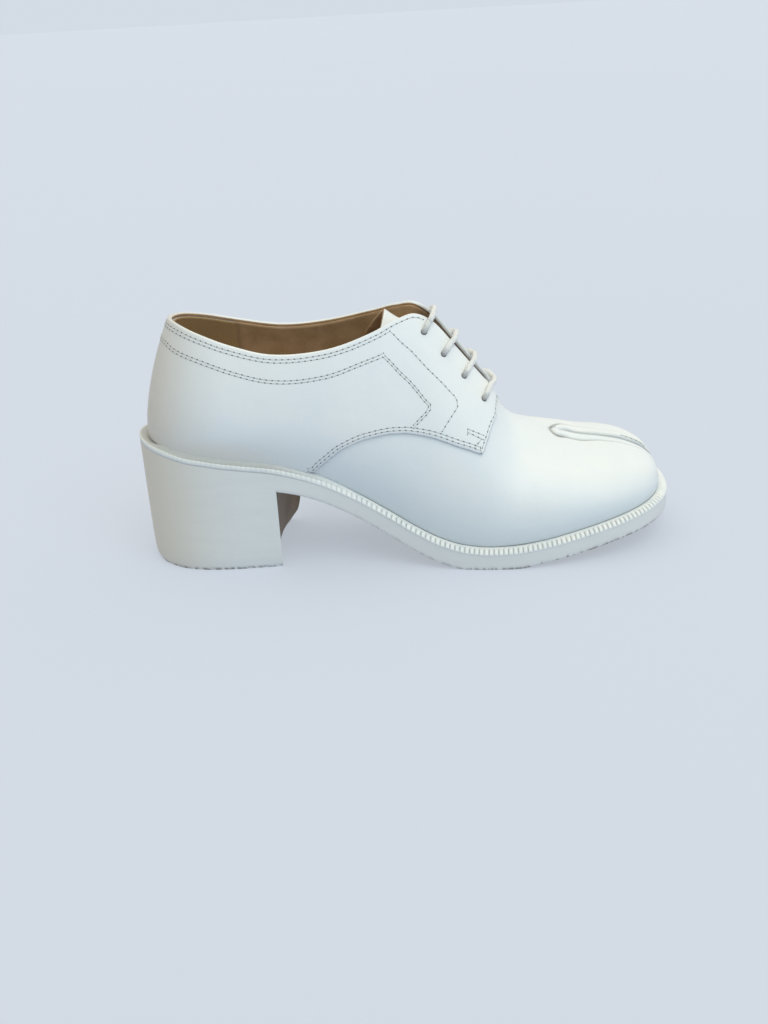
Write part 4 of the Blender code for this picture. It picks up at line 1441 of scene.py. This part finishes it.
def side_loop(starts, stop, count, inset):
    """Plan of a sole or heel: its lateral side, its medial side, and the breast between their starts."""
    sides = zip((LATERAL, MEDIAL), starts)
    left, right = (PLAN.at(side, np.linspace(start, stop, count), inset)[0] for side, start in sides)
    return left, right, breast(left[0], right[0], ARC_STEPS)


def add_cap(skin, left, right, arc, heights, flip, finish, **paint):
    """A flat cover between the two sides of a loop, whose first edge follows the breast."""
    across = np.linspace(0, 1, len(arc))[None, :, None]
    plan = left[:, None] * (1 - across) + right[:, None] * across
    fade = np.clip(1 - np.arange(len(left)) / 6, 0, 1)[:, None, None]
    plan = plan + (arc[::-1] - plan[0])[None] * fade
    face = np.concatenate([plan, heights(plan[..., 0])[..., None]], axis=-1)
    skin.add_grid(face, flip, finish, **paint)


SOLE_EDGE = Table(
    "step inset lift scuff",
    (0, 1.5, 0.00, 1.0),
    (1, 1.0, 0.08, 1.0),
    (2, 0.7, 0.30, 1.0),
    (3, 0.5, 0.70, 0.7),
    (4, 0.4, 1.40, 0.15),
    (5, 0.35, 2.60, 0.0),
)
SOLE_TOP_LIFTS = np.linspace(0, 1, 6)[1:]
SCUFFED = Table("x amount", (70.0, 0.0), (150.0, 0.5), (175.0, 1.0), (240.0, 1.0), (262.0, 0.4))
SOLE_START_X = 66.0
SOLE_STEPS = 220


def make_outsole(edge_paint, leather):
    """The outsole from inside the heel to the toe, its edge rounded below."""
    starts = [PLAN.along_at_x(side, SOLE_START_X) for side in (LATERAL, MEDIAL)]
    skin = Skin("scuff", "warmth")
    rows, scuffs = [], []
    for _, inset, lift, scuff in SOLE_EDGE.values:
        left, right, _ = side_loop(starts, 1.0, SOLE_STEPS, inset)
        loop = np.concatenate([left, right[::-1][1:]])
        rows.append(np.column_stack([loop, PROFILE.at("tread", loop[:, 0]) + lift]))
        scuffs.append(scuff * SCUFFED.at("amount", loop[:, 0]))
    below = rows[-1][:, 2]
    top = seat(loop[:, 0]) - WELT_THICKNESS
    for share in SOLE_TOP_LIFTS:
        rows.append(np.column_stack([loop, below * (1 - share) + top * share]))
        scuffs.append(0 * below)
    skin.add_grid(np.stack(rows, axis=1), False, 0, scuff=np.stack(scuffs, axis=1))
    left, right, _ = side_loop(starts, 1.0, SOLE_STEPS, SOLE_EDGE.values[0, 1])
    straight = right[0] + (left[0] - right[0]) * np.linspace(0, 1, ARC_STEPS)[:, None]
    add_cap(skin, left, right, straight, lambda x: PROFILE.at("tread", x), False, 1, scuff=1.0)
    outsole = skin.make("outsole", [edge_paint, leather], 50.0)
    settle(outsole, "painted_sole", "outsole")


HEEL_SHARES = np.concatenate([np.linspace(0, 0.05, 8), np.linspace(0.07, 1.0, 30)])
HEEL_STEPS = 90
HEEL_SCUFF_HEIGHT = 2.2


def heel_loop(share):
    """Plan of the heel block at this share of its height."""
    starts = [PLAN.along_at_x(side, HEEL_BLOCK.at(name, share)) for side, name in SIDE_NAMES.items()]
    return side_loop(starts, 0.0, HEEL_STEPS, HEEL_BLOCK.at("inset", share))


def floor_scuff(face):
    """Wear near the floor."""
    return fade_out(face[..., 2], 0.0, HEEL_SCUFF_HEIGHT)


def make_heel(edge_paint, leather):
    """The heel block: painted round the back, brown on its hollow breast, worn at the floor."""
    skin = Skin("scuff", "warmth")
    sides, fronts = [], []
    for share in HEEL_SHARES:
        left, right, arc = heel_loop(share)
        loop = np.concatenate([left, right[::-1][1:]])
        sides.append(np.column_stack([loop, share * (bottom_seat(loop[:, 0]) - WELT_THICKNESS)]))
        fronts.append(np.column_stack([arc, share * (seat(arc[:, 0]) - WELT_THICKNESS)]))
    side, front = np.stack(sides, axis=1), np.stack(fronts, axis=1)
    skin.add_grid(side, True, 0, scuff=floor_scuff(side), warmth=0.9 * heel_warmth(side[..., 0]))
    skin.add_grid(front, True, 1, scuff=floor_scuff(front))
    add_cap(skin, *heel_loop(0.0), lambda x: 0 * x, True, 1, scuff=1.0)
    heel = skin.make("heel", [edge_paint, leather], 50.0)
    settle(heel, "painted_sole", "heel")


# The studio

FLOOR_SIZE = 60.0
FLOOR_GLOW = 0.6
BACKGROUND = (0.655, 0.712, 0.780)
FRONT = (0.15, 0.30, 0.41)
HEEL_SIDE = (0.36, 0.34, 0.31)
OVERHEAD = (0.74, 0.67, 0.48)

# Soft lamps: where they shine towards, their colour, strength, and how wide they look in degrees
LAMPS = {
    "top_softbox": ((-0.06, -0.08, -1.0), (1.0, 0.91, 0.74), 0.70, 80.0),
    "front_softbox": ((-0.32, 0.57, -0.76), (0.92, 0.98, 1.0), 1.25, 50.0),
}


def make_floor():
    finish = Finish("pale_floor", 0.9, (0.222, 0.240, 0.290))
    finish.tint(finish.clouds(900.0, 0.3, 0.7, detail=2.0), (0.225, 0.243, 0.293))
    finish.shader.inputs["Emission Color"].default_value = rgb(*BACKGROUND)
    finish.shader.inputs["Emission Strength"].default_value = FLOOR_GLOW
    mesh = bpy.data.meshes.new("floor")
    half = FLOOR_SIZE / 2
    corners = [(-half, -half, 0.0), (half, -half, 0.0), (half, half, 0.0), (-half, half, 0.0)]
    mesh.from_pydata(corners, [], [(0, 1, 2, 3)])
    mesh.materials.append(finish.material)
    floor = bpy.data.objects.new("floor", mesh)
    bpy.context.scene.collection.objects.link(floor)


def paint_room(room):
    """The room: pale behind the shoe, blue and dim in front, warm overhead and on the heel's side."""
    heading = room.node("ShaderNodeSeparateXYZ", Vector=room.node("ShaderNodeTexCoord").outputs["Generated"])
    above = room.ramp(heading.outputs["Z"], 0.0, 0.22)
    front = room.math("MULTIPLY", room.ramp(heading.outputs["Y"], 0.1, -0.7), above)
    paint = room.blend(front, rgb(*BACKGROUND), rgb(*FRONT))
    overhead = room.ramp(heading.outputs["Z"], 0.5, 0.95)
    paint = room.blend(overhead, paint, rgb(*OVERHEAD))
    heel_side = room.math("MULTIPLY", room.ramp(heading.outputs["X"], -0.45, -0.95), above)
    paint = room.blend(heel_side, paint, rgb(*HEEL_SIDE))
    room.feed(room.tree.nodes["Background"].inputs["Color"], paint)


def light_studio():
    world = bpy.data.worlds.new("studio")
    bpy.context.scene.world = world
    world.use_nodes = True
    paint_room(Nodes(world.node_tree))
    for name, (heading, colour, strength, spread) in LAMPS.items():
        lamp = bpy.data.lights.new(name, "SUN")
        lamp.energy = strength
        lamp.color = colour
        lamp.angle = math.radians(spread)
        softbox = bpy.data.objects.new(name, lamp)
        softbox.rotation_euler = Vector(heading).to_track_quat("-Z", "Y").to_euler()
        bpy.context.scene.collection.objects.link(softbox)
    bpy.context.scene.view_settings.view_transform = "Standard"


CAMERA_PLACE = (131.9, -564.0, 258.3)
CAMERA_PITCH = 20.0
CAMERA_ROLL = -3.3
CAMERA_LENS = 42.19
CAMERA_SHIFT = (-0.0195, -0.0725)


def place_camera():
    lens = bpy.data.cameras.new("camera")
    lens.sensor_width = 36.0
    lens.lens = CAMERA_LENS
    lens.shift_x, lens.shift_y = CAMERA_SHIFT
    lens.clip_start = 0.01
    camera = bpy.data.objects.new("camera", lens)
    pitch = Matrix.Rotation(math.radians(90 - CAMERA_PITCH), 4, "X")
    roll = Matrix.Rotation(math.radians(CAMERA_ROLL), 4, "Z")
    place = Matrix.Translation(Vector((np.array(CAMERA_PLACE) - ORIGIN) * MM))
    camera.matrix_world = place @ pitch @ roll
    bpy.context.scene.collection.objects.link(camera)
    bpy.context.scene.camera = camera


def main():
    place_camera()
    leather, lining = white_leather(), lining_leather()
    edge_paint, sole = painted_edge(), brown_sole()
    make_upper(leather)
    make_lining(lining)
    make_insole(lining)
    make_quarters(leather, lining)
    make_tongue(leather, lining)
    make_laces(lace_cotton())
    make_stitches(thread(), hole_shade())
    make_welt(welt_leather())
    make_outsole(edge_paint, sole)
    make_heel(edge_paint, sole)
    make_floor()
    light_studio()
    bpy.context.view_layer.update()


main()
